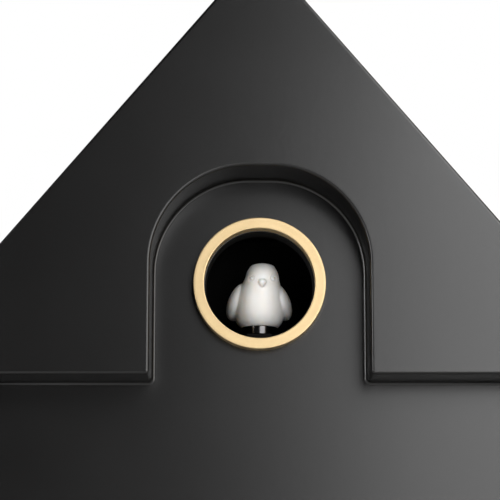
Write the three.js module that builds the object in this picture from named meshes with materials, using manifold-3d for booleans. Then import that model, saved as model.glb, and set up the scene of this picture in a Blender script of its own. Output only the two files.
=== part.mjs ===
// Cuckoo clock: a black lacquered house with a raised pediment, a brass porthole and a white bird
// that slides out on a motor-driven carriage, over a quartz dial. Millimetres. +X is the viewer's
// right, +Y runs from the front to the wall, +Z is up. The origin is the middle of the footprint,
// at the underside of the feet.

import * as THREE from 'three';
import { mergeVertices } from 'three/addons/utils/BufferGeometryUtils.js';
import Module from 'manifold-3d';

const wasm = await Module();
wasm.setup();

// ---------------------------------------------------------------- driving dimensions

// Case
const CASE_WIDTH = 300;
const CASE_HEIGHT = 448;
const CASE_DEPTH = 118;
const ROOF_PITCH = THREE.MathUtils.degToRad(49.8);
const BOARD = 12;
const PEDIMENT_THICKNESS = 32;
const BACK_PANEL_THICKNESS = 6;
const BACK_PANEL_RECESS = 4;
const FOOT_HEIGHT = 2;
const FOOT_RADIUS = 7;
const GLUE_LINE = 0.2;
const FIT_GAP = 0.3;

// Pediment arch and porthole, placed from the porthole's centre
const APEX_ABOVE_PORTHOLE = 154;
const PEDIMENT_BELOW_PORTHOLE = 45.5;
const ARCH_HALF_WIDTH = 50;
const ARCH_ABOVE_PORTHOLE = 50.5;
const ARCH_CORNER_RADIUS = 45;
const ARCH_ARRIS_RADIUS = 2;
const PORTHOLE_RADIUS = 25.1;
const RING_INNER_RADIUS = 25.8;
const RING_OUTER_RADIUS = 30.9;
const RING_HEIGHT = 7.6;
const RING_CHAMFER = 0.6;

// Bird and the carriage it stands on
const BIRD_TRAVEL = 34;
const BIRD_BELOW_PORTHOLE = 16.2;
const PEDESTAL_RADIUS = 8.6;
const PEDESTAL_HEIGHT = 4;
const ROD_RADIUS = 1.5;
const ROD_SPACING = 40;
const RACK_MODULE = 1;
const PINION_TEETH = 12;
const PINION_Y = -3;

// Dial and hands
const DIAL_Z = 112;
const CHAPTER_RADIUS = 80;
const MINUTE_HAND_LENGTH = 70;
const HOUR_HAND_LENGTH = 49;
const MINUTE_HAND_ANGLE = 60;
const HOUR_HAND_ANGLE = 305;

// Quartz movement
const MOVEMENT_HALF_WIDTH = 28;
const MOVEMENT_BELOW_SHAFT = 33;
const MOVEMENT_ABOVE_SHAFT = 23;
const MOVEMENT_DEPTH = 15;
const MOVEMENT_WALL = 1.5;
const MOTION_CENTRES = 12;
const THIRD_WHEEL_CENTRES = 14;

// Battery box, speaker and controls in the back panel
const CELL_RADIUS = 7.1;
const CELL_LENGTH = 50;
const BATTERY_BOX = { x0: 52, x1: 116, z0: 90, z1: 124, depth: 20, wall: 1.6 };
const SPEAKER = { x: -84, z: 107, radius: 25 };
const CONTROL_Z = 198;
const SLIDER_X = -18;
const BUTTON_X = 18;
const HANGER_Z = 376;

// ---------------------------------------------------------------- derived places

const FRONT_Y = -CASE_DEPTH / 2;
const REAR_Y = CASE_DEPTH / 2;
const PANEL_FACE_Y = FRONT_Y + PEDIMENT_THICKNESS;
const PANEL_BACK_Y = PANEL_FACE_Y + BOARD;
const BACK_OUT_Y = REAR_Y - BACK_PANEL_RECESS;
const BACK_IN_Y = BACK_OUT_Y - BACK_PANEL_THICKNESS;
const HALF_WIDTH = CASE_WIDTH / 2;
const CASE_Z = FOOT_HEIGHT;
const APEX_Z = CASE_Z + CASE_HEIGHT;
const EAVES_Z = APEX_Z - HALF_WIDTH * Math.tan(ROOF_PITCH);
const PORTHOLE_Z = APEX_Z - APEX_ABOVE_PORTHOLE;
const PEDIMENT_Z = PORTHOLE_Z - PEDIMENT_BELOW_PORTHOLE;
const BOARD_PLUMB = BOARD / Math.cos(ROOF_PITCH);
const COVER_HINGE = { y: BACK_OUT_Y - 0.8, z: BATTERY_BOX.z0 + 1.2 };

// ---------------------------------------------------------------- finishes

function finish(color, roughness, metalness) {
  return () => new THREE.MeshStandardMaterial({ color, roughness, metalness });
}
const blackLacquer = finish(0x1d1c1c, 0.35, 0);
const blackPaint = finish(0x141414, 0.7, 0);
const brass = finish(0xd8b877, 0.3, 1);
const whiteResin = finish(0xf2f1ef, 0.45, 0);
const blackPlastic = finish(0x18181a, 0.5, 0);
const greyPlastic = finish(0x3a3b3e, 0.5, 0);
const whitePlastic = finish(0xe8e6df, 0.4, 0);
const steel = finish(0xb8babd, 0.3, 1);
const copper = finish(0xb5683a, 0.4, 1);
const rubber = finish(0x222222, 0.9, 0);
const fibreboard = finish(0x8a6a48, 0.85, 0);
const circuitGreen = finish(0x1f5a36, 0.5, 0);
const paperCone = finish(0x26262a, 0.9, 0);
const cellJacket = finish(0x4a6d8c, 0.35, 0.3);

// ---------------------------------------------------------------- shape helpers

const clock = new THREE.Group();

// A geometry with shared corners, no degenerate faces, and its faces pointing out.
function closed(geometry) {
  const bare = geometry.clone();
  bare.deleteAttribute('normal');
  bare.deleteAttribute('uv');
  const merged = mergeVertices(bare, 1e-4);
  const place = merged.attributes.position;
  const faces = [];
  let volume = 0;
  const [a, b, c] = [new THREE.Vector3(), new THREE.Vector3(), new THREE.Vector3()];
  for (let i = 0; i < merged.index.count; i += 3) {
    const [ia, ib, ic] = [0, 1, 2].map((k) => merged.index.getX(i + k));
    if (ia === ib || ib === ic || ic === ia) continue;
    faces.push([ia, ib, ic]);
    a.fromBufferAttribute(place, ia);
    b.fromBufferAttribute(place, ib);
    c.fromBufferAttribute(place, ic);
    volume += a.dot(b.cross(c));
  }
  const out = volume < 0 ? faces.map(([p, q, r]) => [p, r, q]) : faces;
  merged.setIndex(out.flat());
  return merged;
}

// The same geometry as a solid that can be joined and cut.
function solid(geometry) {
  const body = closed(geometry);
  return new wasm.Manifold(new wasm.Mesh({
    numProp: 3,
    vertProperties: new Float32Array(body.attributes.position.array),
    triVerts: new Uint32Array(body.index.array),
  }));
}

function fromSolid(body) {
  const mesh = body.getMesh();
  const geometry = new THREE.BufferGeometry();
  geometry.setAttribute('position', new THREE.BufferAttribute(mesh.vertProperties, 3));
  geometry.setIndex(new THREE.BufferAttribute(mesh.triVerts, 1));
  return geometry;
}

const join = (first, ...rest) => rest.reduce((sum, geometry) => sum.add(solid(geometry)), solid(first));
const cut = (body, ...tools) => tools.reduce((left, geometry) => left.subtract(solid(geometry)), body);

// Adds one named piece to the clock.
function piece(name, shape, material) {
  const geometry = shape instanceof THREE.BufferGeometry ? closed(shape) : fromSolid(shape);
  geometry.computeVertexNormals();
  const mesh = new THREE.Mesh(geometry, material());
  mesh.name = name;
  clock.add(mesh);
}

const points = (pairs) => pairs.map(([x, z]) => new THREE.Vector2(x, z));

// Points of a circular arc from one angle to another, in degrees, both ends included.
function arc(x, z, radius, from, to, steps) {
  return Array.from({ length: steps + 1 }, (_, i) => {
    const angle = THREE.MathUtils.degToRad(from + (to - from) * i / steps);
    return [x + radius * Math.cos(angle), z + radius * Math.sin(angle)];
  });
}
const circle = (x, z, radius, steps = 24) => arc(x, z, radius, 0, 360, steps).slice(0, -1);

// A rectangle with rounded corners, as points.
function roundedBox(x0, x1, z0, z1, radius, steps = 4) {
  return [
    ...arc(x1 - radius, z0 + radius, radius, -90, 0, steps),
    ...arc(x1 - radius, z1 - radius, radius, 0, 90, steps),
    ...arc(x0 + radius, z1 - radius, radius, 90, 180, steps),
    ...arc(x0 + radius, z0 + radius, radius, 180, 270, steps),
  ];
}

// A board seen from the front: an outline in X and Z, with holes, between two depths.
function board(outline, yFront, yBack, holes = []) {
  const shape = new THREE.Shape(points(outline));
  for (const hole of holes) shape.holes.push(new THREE.Path(points(hole)));
  const geometry = new THREE.ExtrudeGeometry(shape, { depth: yBack - yFront, bevelEnabled: false });
  return geometry.rotateX(Math.PI / 2).translate(0, yBack, 0);
}

function block(x0, x1, y0, y1, z0, z1) {
  const box = new THREE.BoxGeometry(x1 - x0, y1 - y0, z1 - z0);
  return box.translate((x0 + x1) / 2, (y0 + y1) / 2, (z0 + z1) / 2);
}

// A turned piece on an axis along Y. The profile is radius and y.
function turned(profile, x, z, steps = 32) {
  const onAxis = profile[0][0] === 0;
  const loop = onAxis ? profile : [...profile, profile[0]];
  return new THREE.LatheGeometry(points(loop), steps).translate(x, 0, z);
}

const rodY = (x, z, radius, y0, y1, steps = 16) => (
  turned([[0, y0], [radius, y0], [radius, y1], [0, y1]], x, z, steps)
);
const tubeY = (x, z, inner, outer, y0, y1, steps = 24) => (
  turned([[inner, y0], [outer, y0], [outer, y1], [inner, y1]], x, z, steps)
);

// The same on an axis along X, from x0 to x1.
function rodX(y, z, radius, x0, x1, steps = 16) {
  const rod = turned([[0, x0], [radius, x0], [radius, x1], [0, x1]], 0, 0, steps);
  return rod.rotateZ(-Math.PI / 2).translate(0, y, z);
}

function rodZ(x, y, radius, z0, z1, steps = 32) {
  const rod = new THREE.CylinderGeometry(radius, radius, z1 - z0, steps).rotateX(Math.PI / 2);
  return rod.translate(x, y, (z0 + z1) / 2);
}

// A toothed wheel as points: straight-sided teeth a little thinner than the gaps, so that a pair
// at its true centre distance runs free. The first tooth points at the given angle, in degrees.
function toothed(teeth, module, x, z, firstTooth) {
  const pitchRadius = teeth * module / 2;
  const tipRadius = pitchRadius + 0.9 * module;
  const rootRadius = pitchRadius - 1.25 * module;
  const step = 360 / teeth;
  const tooth = [[rootRadius, -0.31], [tipRadius, -0.09], [tipRadius, 0.09], [rootRadius, 0.31]];
  return Array.from({ length: teeth }, (_, i) => i).flatMap((i) => tooth.map(([radius, part]) => {
    const angle = THREE.MathUtils.degToRad(firstTooth + (i + part) * step);
    return [x + radius * Math.cos(angle), z + radius * Math.sin(angle)];
  }));
}

// ---------------------------------------------------------------- case boards

// The gabled outline of the whole front.
const house = [
  [-HALF_WIDTH, CASE_Z], [HALF_WIDTH, CASE_Z], [HALF_WIDTH, EAVES_Z], [0, APEX_Z], [-HALF_WIDTH, EAVES_Z],
];
// Height of the roof boards' inner face at a distance from the middle.
const roofInside = (x) => APEX_Z - Math.abs(x) * Math.tan(ROOF_PITCH) - BOARD_PLUMB;

function frontPanel() {
  const porthole = circle(0, PORTHOLE_Z, PORTHOLE_RADIUS, 48);
  const shaftHole = circle(0, DIAL_Z, 5);
  piece('front_panel', board(house, PANEL_FACE_Y, PANEL_BACK_Y, [porthole, shaftHole]), blackLacquer);
}

// The raised gable board. Its lower edge opens into a round-topped arch about the porthole.
function pedimentPanel() {
  const archFlat = ARCH_HALF_WIDTH - ARCH_CORNER_RADIUS;
  const cornerZ = PORTHOLE_Z + ARCH_ABOVE_PORTHOLE - ARCH_CORNER_RADIUS;
  const arris = ARCH_HALF_WIDTH + ARCH_ARRIS_RADIUS;
  const outline = [
    [-HALF_WIDTH, PEDIMENT_Z],
    ...arc(-arris, PEDIMENT_Z + ARCH_ARRIS_RADIUS, ARCH_ARRIS_RADIUS, -90, 0, 4),
    ...arc(-archFlat, cornerZ, ARCH_CORNER_RADIUS, 180, 90, 16),
    ...arc(archFlat, cornerZ, ARCH_CORNER_RADIUS, 90, 0, 16),
    ...arc(arris, PEDIMENT_Z + ARCH_ARRIS_RADIUS, ARCH_ARRIS_RADIUS, 180, 270, 4),
    [HALF_WIDTH, PEDIMENT_Z], [HALF_WIDTH, EAVES_Z], [0, APEX_Z], [-HALF_WIDTH, EAVES_Z],
  ];
  piece('pediment_panel', board(outline, FRONT_Y, PANEL_FACE_Y - GLUE_LINE), blackLacquer);
}

function sideAndRoofBoards() {
  const y0 = PANEL_BACK_Y + GLUE_LINE;
  for (const [side, sign] of [['left', -1], ['right', 1]]) {
    const wall = [
      [HALF_WIDTH - BOARD, CASE_Z], [HALF_WIDTH, CASE_Z],
      [HALF_WIDTH, roofInside(HALF_WIDTH) - GLUE_LINE],
      [HALF_WIDTH - BOARD, roofInside(HALF_WIDTH - BOARD) - GLUE_LINE],
    ];
    const ridge = GLUE_LINE / 2;
    const ridgeZ = APEX_Z - ridge * Math.tan(ROOF_PITCH);
    const roof = [
      [HALF_WIDTH, EAVES_Z], [ridge, ridgeZ],
      [ridge, ridgeZ - BOARD_PLUMB], [HALF_WIDTH, roofInside(HALF_WIDTH)],
    ];
    const mirror = (outline) => outline.map(([x, z]) => [sign * x, z]);
    piece(`${side}_side_wall`, board(mirror(wall), y0, REAR_Y), blackLacquer);
    piece(`${side}_roof_board`, board(mirror(roof), y0, REAR_Y), blackLacquer);
  }
  const inner = HALF_WIDTH - BOARD - GLUE_LINE;
  piece('bottom_board', block(-inner, inner, y0, REAR_Y, CASE_Z, CASE_Z + BOARD), blackLacquer);
}

function feet() {
  const inset = 20;
  for (const [end, y] of [['front', PANEL_FACE_Y + inset], ['rear', REAR_Y - inset / 2]]) {
    for (const [side, sign] of [['left', -1], ['right', 1]]) {
      const pad = rodZ(sign * (HALF_WIDTH - inset), y, FOOT_RADIUS, 0, FOOT_HEIGHT - 0.05, 20);
      piece(`foot_${end}_${side}`, pad, rubber);
    }
  }
}

// ---------------------------------------------------------------- back panel and its fastenings

const SCREWS = [
  { x: -HALF_WIDTH + BOARD + 6, z: 30 }, { x: HALF_WIDTH - BOARD - 6, z: 30 },
  { x: -HALF_WIDTH + BOARD + 6, z: 240 }, { x: HALF_WIDTH - BOARD - 6, z: 240 },
];
const SCREW_RADIUS = 1.7;
const BATTEN = 12;

function backPanel() {
  const edge = HALF_WIDTH - BOARD - FIT_GAP;
  const outline = [
    [-edge, CASE_Z + BOARD + FIT_GAP], [edge, CASE_Z + BOARD + FIT_GAP],
    [edge, roofInside(edge) - 0.5], [0, roofInside(0) - 0.5], [-edge, roofInside(edge) - 0.5],
  ];
  const box = BATTERY_BOX;
  const movementWindow = roundedBox(-38, 38, DIAL_Z - 43, DIAL_Z + 33, 6);
  const batteryWindow = [
    [box.x0 - FIT_GAP, box.z0 - FIT_GAP], [box.x1 + FIT_GAP, box.z0 - FIT_GAP],
    [box.x1 + FIT_GAP, box.z1 + FIT_GAP], [box.x0 - FIT_GAP, box.z1 + FIT_GAP],
  ];
  const hangerPocket = roundedBox(-9, 9, HANGER_Z - 12, HANGER_Z + 14, 8.9);
  const sliderSlot = roundedBox(SLIDER_X - 8, SLIDER_X + 8, CONTROL_Z - 2.8, CONTROL_Z + 2.8, 2.7);
  const buttonHole = circle(BUTTON_X, CONTROL_Z, 4, 16);
  const speakerSlots = [-15, -10, -5, 0, 5, 10, 15].map((offset) => {
    const reach = Math.sqrt(20 ** 2 - offset ** 2);
    const z = SPEAKER.z + offset;
    return roundedBox(SPEAKER.x - reach, SPEAKER.x + reach, z - 1.2, z + 1.2, 1.15, 2);
  });
  const screwHoles = SCREWS.map(({ x, z }) => circle(x, z, SCREW_RADIUS + FIT_GAP, 12));
  const holes = [
    movementWindow, batteryWindow, hangerPocket, sliderSlot, buttonHole, ...speakerSlots, ...screwHoles,
  ];
  const hingeSockets = [[box.x0 - 1.3, box.x0], [box.x1, box.x1 + 1.3]].map(([x0, x1]) => (
    rodX(COVER_HINGE.y, COVER_HINGE.z, 0.95, x0, x1, 12)
  ));
  const panel = solid(board(outline, BACK_IN_Y, BACK_OUT_Y, holes));
  piece('back_panel', cut(panel, ...hingeSockets), blackPaint);
}

// Strips along the side walls that take the back panel's screws.
function battens() {
  const x1 = HALF_WIDTH - BOARD - GLUE_LINE;
  const y1 = BACK_IN_Y - GLUE_LINE;
  for (const [side, sign] of [['left', -1], ['right', 1]]) {
    const sides = [sign * (x1 - BATTEN), sign * x1].sort((a, b) => a - b);
    const strip = block(...sides, y1 - BATTEN, y1, 20, 254);
    const bores = SCREWS.filter(({ x }) => Math.sign(x) === sign)
      .map(({ x, z }) => rodY(x, z, SCREW_RADIUS + 0.15, y1 - 9, y1 + 1, 12));
    piece(`${side}_batten`, cut(solid(strip), ...bores), fibreboard);
  }
}

function backPanelScrews() {
  const head = BACK_OUT_Y + 0.1;
  const tip = BACK_IN_Y - 8;
  SCREWS.forEach(({ x, z }, i) => {
    const profile = [
      [0, tip], [SCREW_RADIUS, tip + 2], [SCREW_RADIUS, head],
      [3.4, head], [3.4, head + 1], [2.2, head + 2], [0, head + 2],
    ];
    piece(`back_screw_${i + 1}`, turned(profile, x, z, 12), steel);
  });
}

// A steel keyhole plate over the pocket: the wall screw's head enters below and the neck rises in it.
function keyholeHanger() {
  const y0 = BACK_OUT_Y + GLUE_LINE;
  const plate = roundedBox(-22, 22, HANGER_Z - 15, HANGER_Z + 15, 4);
  const turn = THREE.MathUtils.radToDeg(Math.asin(2.4 / 5));
  const keyhole = [
    ...arc(0, HANGER_Z - 4, 5, 90 + turn, 450 - turn, 16),
    ...arc(0, HANGER_Z + 7, 2.4, 0, 180, 6),
  ];
  piece('keyhole_hanger', board(plate, y0, y0 + 1.5, [keyhole]), steel);
}

// ---------------------------------------------------------------- porthole and dial trim

function portholeRing() {
  const back = PANEL_FACE_Y - GLUE_LINE;
  const face = back - RING_HEIGHT;
  const profile = [
    [RING_INNER_RADIUS, back], [RING_INNER_RADIUS, face + RING_CHAMFER],
    [RING_INNER_RADIUS + RING_CHAMFER, face], [RING_OUTER_RADIUS - RING_CHAMFER, face],
    [RING_OUTER_RADIUS, face + RING_CHAMFER], [RING_OUTER_RADIUS, back],
  ];
  piece('porthole_ring', turned(profile, 0, PORTHOLE_Z, 44), brass);
}

// A thin etched ring with a baton at each hour.
function chapterRing() {
  const inner = CHAPTER_RADIUS - 2.5;
  const outline = circle(0, DIAL_Z, CHAPTER_RADIUS, 72);
  const hole = Array.from({ length: 12 }, (_, hour) => hour).flatMap((hour) => {
    const quarter = hour % 3 === 0;
    const halfWidth = quarter ? 1.8 : 1.1;
    const reach = inner - (quarter ? 14 : 9);
    const turn = THREE.MathUtils.degToRad(30 * hour);
    const halfTurn = Math.asin(halfWidth / inner);
    const place = (along, across) => [
      along * Math.cos(turn) - across * Math.sin(turn),
      DIAL_Z + along * Math.sin(turn) + across * Math.cos(turn),
    ];
    const open = THREE.MathUtils.degToRad(30) - 2 * halfTurn;
    const rim = [1, 2, 3, 4].map((k) => {
      const angle = turn + halfTurn + open * k / 5;
      return [inner * Math.cos(angle), DIAL_Z + inner * Math.sin(angle)];
    });
    const foot = Math.sqrt(inner ** 2 - halfWidth ** 2);
    const baton = [[foot, -halfWidth], [reach, -halfWidth], [reach, halfWidth], [foot, halfWidth]];
    return [...baton.map(([along, across]) => place(along, across)), ...rim];
  });
  piece('chapter_ring', board(outline, PANEL_FACE_Y - 1, PANEL_FACE_Y - GLUE_LINE, [hole]), brass);
}

// ---------------------------------------------------------------- bird mechanism

const PEDESTAL_Z = PORTHOLE_Z - BIRD_BELOW_PORTHOLE - PEDESTAL_HEIGHT;
const ARM_TOP = PEDESTAL_Z - 0.1;
const ARM_THICKNESS = 1.6;
const RACK_ROOT_Z = ARM_TOP - ARM_THICKNESS;
const RACK_PITCH_Z = RACK_ROOT_Z - 1.25 * RACK_MODULE;
const PINION_RADIUS = PINION_TEETH * RACK_MODULE / 2;
const PINION_Z = RACK_PITCH_Z - PINION_RADIUS;
const ROD_Z = RACK_ROOT_Z - 2.7;
const ROD_X = ROD_SPACING / 2;
const EAR_FRONT_Y = PANEL_BACK_Y + GLUE_LINE;
const EAR_BACK_Y = 36.6;
const BASE_TOP_Z = 251.6;
const BASE_THICKNESS = 3;
const HOOD_HALF_WIDTH = 42;
const HOOD_TOP_Z = 332;
const HOOD_BACK_Y = BACK_IN_Y - 0.5;
const HOOD_WALL = 2;

// A black box without front or floor, round the bird.
function birdHood() {
  const y0 = PANEL_BACK_Y + GLUE_LINE;
  const z0 = BASE_TOP_Z + 0.1;
  const outside = block(-HOOD_HALF_WIDTH, HOOD_HALF_WIDTH, y0, HOOD_BACK_Y, z0, HOOD_TOP_Z);
  const reach = HOOD_HALF_WIDTH - HOOD_WALL;
  const inside = block(-reach, reach, y0 - 5, HOOD_BACK_Y - HOOD_WALL, z0 - 5, HOOD_TOP_Z - HOOD_WALL);
  piece('bird_hood', cut(solid(outside), inside), blackPlastic);
}

// The mechanism's floor, with ears for the guide rods and a post for the pinion's shaft.
function mechanismBase() {
  const floorZ = BASE_TOP_Z - BASE_THICKNESS;
  const plate = block(-HOOD_HALF_WIDTH, HOOD_HALF_WIDTH, EAR_FRONT_Y, HOOD_BACK_Y, floorZ, BASE_TOP_Z);
  const earDepths = [[EAR_FRONT_Y, EAR_FRONT_Y + 3], [EAR_BACK_Y, EAR_BACK_Y + 2.6]];
  const ears = [-ROD_X, ROD_X].flatMap((x) => earDepths.map(([y0, y1]) => (
    block(x - 4.5, x + 4.5, y0, y1, BASE_TOP_Z - 1, ROD_Z + 3.6)
  )));
  const postOutline = roundedBox(-12, -9, BASE_TOP_Z - 1, PINION_Z + 3.8, 1.2, 2);
  const post = board(postOutline, PINION_Y - 4, PINION_Y + 4);
  const rodBores = [-1, 1].map((side) => (
    rodY(side * ROD_X, ROD_Z, ROD_RADIUS + FIT_GAP, EAR_FRONT_Y - 5, 45)
  ));
  const shaftBore = rodX(PINION_Y, PINION_Z, ROD_RADIUS + FIT_GAP, -15, -6);
  piece('mechanism_base', cut(join(plate, ...ears, post), ...rodBores, shaftBore), blackPlastic);
}

function guideRods() {
  for (const [side, sign] of [['left', -1], ['right', 1]]) {
    piece(`guide_rod_${side}`, rodY(sign * ROD_X, ROD_Z, ROD_RADIUS, EAR_FRONT_Y, EAR_BACK_Y + 2.5), steel);
  }
}

// Slider with two shoes on the rods, an arm that reaches forward under the pedestal, and the rack.
function birdCarriage() {
  const [y0, y1] = [22.6, 36.2];
  const plate = block(-24.5, 24.5, y0, y1, RACK_ROOT_Z, ARM_TOP);
  const arm = board(roundedBox(-6, 6, RACK_ROOT_Z, ARM_TOP, 0.5, 2), -9, y0 + 1);
  const shoes = [-1, 1].map((side) => (
    block(side * ROD_X - 4.5, side * ROD_X + 4.5, y0, y1, ROD_Z - 3, RACK_ROOT_Z + 1)
  ));
  const flag = block(27, 28, y0 + 4, y0 + 10, ROD_Z - 8, RACK_ROOT_Z + 2);
  const flagBridge = block(24, 28, y0 + 4, y0 + 10, RACK_ROOT_Z, ARM_TOP - 1);
  const bores = [-1, 1].map((side) => rodY(side * ROD_X, ROD_Z, ROD_RADIUS + FIT_GAP, y0 - 3, y1 + 3));
  piece('bird_carriage', cut(join(plate, arm, ...shoes, flag, flagBridge, rack()), ...bores), greyPlastic);
}

// Straight teeth under the arm. A gap stands over the pinion's axis when the bird is in.
function rack() {
  const pitch = Math.PI * RACK_MODULE;
  const tip = RACK_PITCH_Z - 0.9 * RACK_MODULE;
  const outline = [[-8, RACK_ROOT_Z + 0.5], [-8, RACK_ROOT_Z]];
  const firstTooth = Math.ceil((-7 - PINION_Y) / pitch - 0.5);
  const toothCount = 13;
  for (let i = 0; i < toothCount; i += 1) {
    const middle = PINION_Y + (firstTooth + i + 0.5) * pitch;
    outline.push([middle - 0.31 * pitch, RACK_ROOT_Z], [middle - 0.11 * pitch, tip]);
    outline.push([middle + 0.11 * pitch, tip], [middle + 0.31 * pitch, RACK_ROOT_Z]);
  }
  outline.push([BIRD_TRAVEL + 1, RACK_ROOT_Z], [BIRD_TRAVEL + 1, RACK_ROOT_Z + 0.5]);
  const shape = new THREE.Shape(points(outline));
  const strip = new THREE.ExtrudeGeometry(shape, { depth: 8, bevelEnabled: false });
  // The outline is drawn in Y and Z, and its thickness turned to run along X.
  strip.applyMatrix4(new THREE.Matrix4().set(0, 0, 1, -4, 1, 0, 0, 0, 0, 1, 0, 0, 0, 0, 0, 1));
  return strip;
}

function pinionDrive() {
  // A tooth points straight up into the rack's gap.
  const outline = toothed(PINION_TEETH, RACK_MODULE, 0, 0, 90);
  const gear = board(outline, -3.8, 3.8, [circle(0, 0, ROD_RADIUS + 0.15, 16)]);
  piece('drive_pinion', gear.rotateZ(-Math.PI / 2).translate(0, PINION_Y, PINION_Z), brass);
  piece('pinion_shaft', rodX(PINION_Y, PINION_Z, ROD_RADIUS, -11.8, 13.8), steel);
  const side = roundedBox(5.2, 14.8, BASE_TOP_Z + 0.3, PINION_Z + 4.6, 1.2, 3);
  const gearbox = board(side, PINION_Y - 6, PINION_Y + 6);
  const bore = rodX(PINION_Y, PINION_Z, ROD_RADIUS + FIT_GAP, 2, 14.1);
  piece('gearbox_housing', cut(solid(gearbox), bore), greyPlastic);
  const motorZ = BASE_TOP_Z + 6.5;
  const can = join(
    rodX(PINION_Y, motorZ, 6, 15.1, 25, 24), rodX(PINION_Y, motorZ, 2.4, 24, 26.4, 16),
  );
  piece('motor_can', can, steel);
}

// A fork-shaped light barrier. The carriage's flag stands in its slot when the bird is in.
function homeSensor() {
  const x = 27.5;
  const y = 29.6;
  const foot = BASE_TOP_Z + 0.1;
  const body = block(x - 5, x + 5, y - 3.5, y + 3.5, foot, ROD_Z - 3.6);
  const slot = block(x - 1.5, x + 1.5, y - 8, y + 8, ROD_Z - 9.5, ROD_Z);
  piece('home_sensor', cut(solid(body), slot), blackPlastic);
}

function birdOnPedestal() {
  const foot = PEDESTAL_Z + PEDESTAL_HEIGHT;
  piece('bird_pedestal', rodZ(0, 0, PEDESTAL_RADIUS, PEDESTAL_Z, foot - 0.1, 32), blackPlastic);
  const egg = (x, y, z, rx, ry, rz, steps) => (
    new THREE.SphereGeometry(1, steps, Math.round(steps * 0.6)).scale(rx, ry, rz).translate(x, y, foot + z)
  );
  const beak = new THREE.ConeGeometry(1.6, 3.6, 10).rotateX(Math.PI).translate(0, -11.5, foot + 20);
  const body = join(
    egg(0, 0.5, 10.9, 12.6, 13, 12.1, 18),
    egg(0, -2.8, 23.2, 7.8, 8.1, 7.9, 16),
    egg(0, 12.5, 7.5, 5.4, 7, 3.2, 10),
    egg(-10.1, 1, 11, 5.1, 9.6, 8.8, 12),
    egg(10.1, 1, 11, 5.1, 9.6, 8.8, 12),
    beak,
  );
  piece('bird_figure', cut(body, block(-20, 20, -25, 25, foot - 10, foot)), whiteResin);
}

// ---------------------------------------------------------------- quartz movement

const CASE_FLOOR_Y = PANEL_BACK_Y + GLUE_LINE;
const CASE_INSIDE_Y = CASE_FLOOR_Y + MOVEMENT_WALL;
const CASE_RIM_Y = CASE_FLOOR_Y + MOVEMENT_DEPTH;
const BAY_WALL_Z = DIAL_Z - MOVEMENT_BELOW_SHAFT + 16.6;
const MOVEMENT_BOTTOM = DIAL_Z - MOVEMENT_BELOW_SHAFT;
const MOVEMENT_TOP = DIAL_Z + MOVEMENT_ABOVE_SHAFT;
// Layers of the wheels, from the dial side.
const HOUR_LAYER = [CASE_INSIDE_Y + 0.4, CASE_INSIDE_Y + 1.6];
const MINUTE_LAYER = [CASE_INSIDE_Y + 2.2, CASE_INSIDE_Y + 3.4];
const CENTRE_LAYER = [CASE_INSIDE_Y + 4.8, CASE_INSIDE_Y + 6];
const THIRD_LAYER = [CASE_INSIDE_Y + 7, CASE_INSIDE_Y + 8];
const THIRD_WHEEL = { x: THIRD_WHEEL_CENTRES, z: DIAL_Z };
const MINUTE_WHEEL = { x: -MOTION_CENTRES, z: DIAL_Z };
const ROTOR = { x: 16, z: DIAL_Z + 15.5, radius: 3 };

// Open-backed tray with the threaded bush, the wheels' fixed posts and the cell's bay below.
function movementBase() {
  const tray = block(
    -MOVEMENT_HALF_WIDTH, MOVEMENT_HALF_WIDTH, CASE_FLOOR_Y, CASE_RIM_Y, MOVEMENT_BOTTOM, MOVEMENT_TOP,
  );
  const inner = MOVEMENT_HALF_WIDTH - MOVEMENT_WALL;
  const worksTop = MOVEMENT_TOP - MOVEMENT_WALL;
  const works = block(-inner, inner, CASE_INSIDE_Y, CASE_RIM_Y + 5, BAY_WALL_Z + MOVEMENT_WALL, worksTop);
  const bay = block(-inner, inner, CASE_FLOOR_Y + 0.8, CASE_RIM_Y + 5, MOVEMENT_BOTTOM + 0.8, BAY_WALL_Z);
  const shaftHole = rodY(0, DIAL_Z, 3.3, PANEL_FACE_Y - 10, CASE_INSIDE_Y + 1, 24);
  const bush = tubeY(0, DIAL_Z, 3.3, 4.5, PANEL_FACE_Y - 4.2, CASE_FLOOR_Y + 0.5);
  const postEnds = [CASE_INSIDE_Y - 0.5, MINUTE_LAYER[1] + 0.5];
  const minutePost = rodY(MINUTE_WHEEL.x, MINUTE_WHEEL.z, 0.75, ...postEnds, 10);
  const thirdPost = rodY(THIRD_WHEEL.x, THIRD_WHEEL.z, 0.6, CASE_INSIDE_Y - 0.5, THIRD_LAYER[1] + 0.5, 10);
  const posts = join(bush, minutePost, thirdPost);
  piece('movement_base', cut(solid(tray), works, bay, shaftHole).add(posts), blackPlastic);
}

function movementCover() {
  const half = MOVEMENT_HALF_WIDTH;
  const outline = roundedBox(-half, half, BAY_WALL_Z + 0.2, MOVEMENT_TOP, 1.5, 3);
  const y0 = CASE_RIM_Y + GLUE_LINE;
  piece('movement_cover', board(outline, y0, y0 + 1.6, [circle(0, DIAL_Z, 2.6, 16)]), blackPlastic);
}

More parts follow.
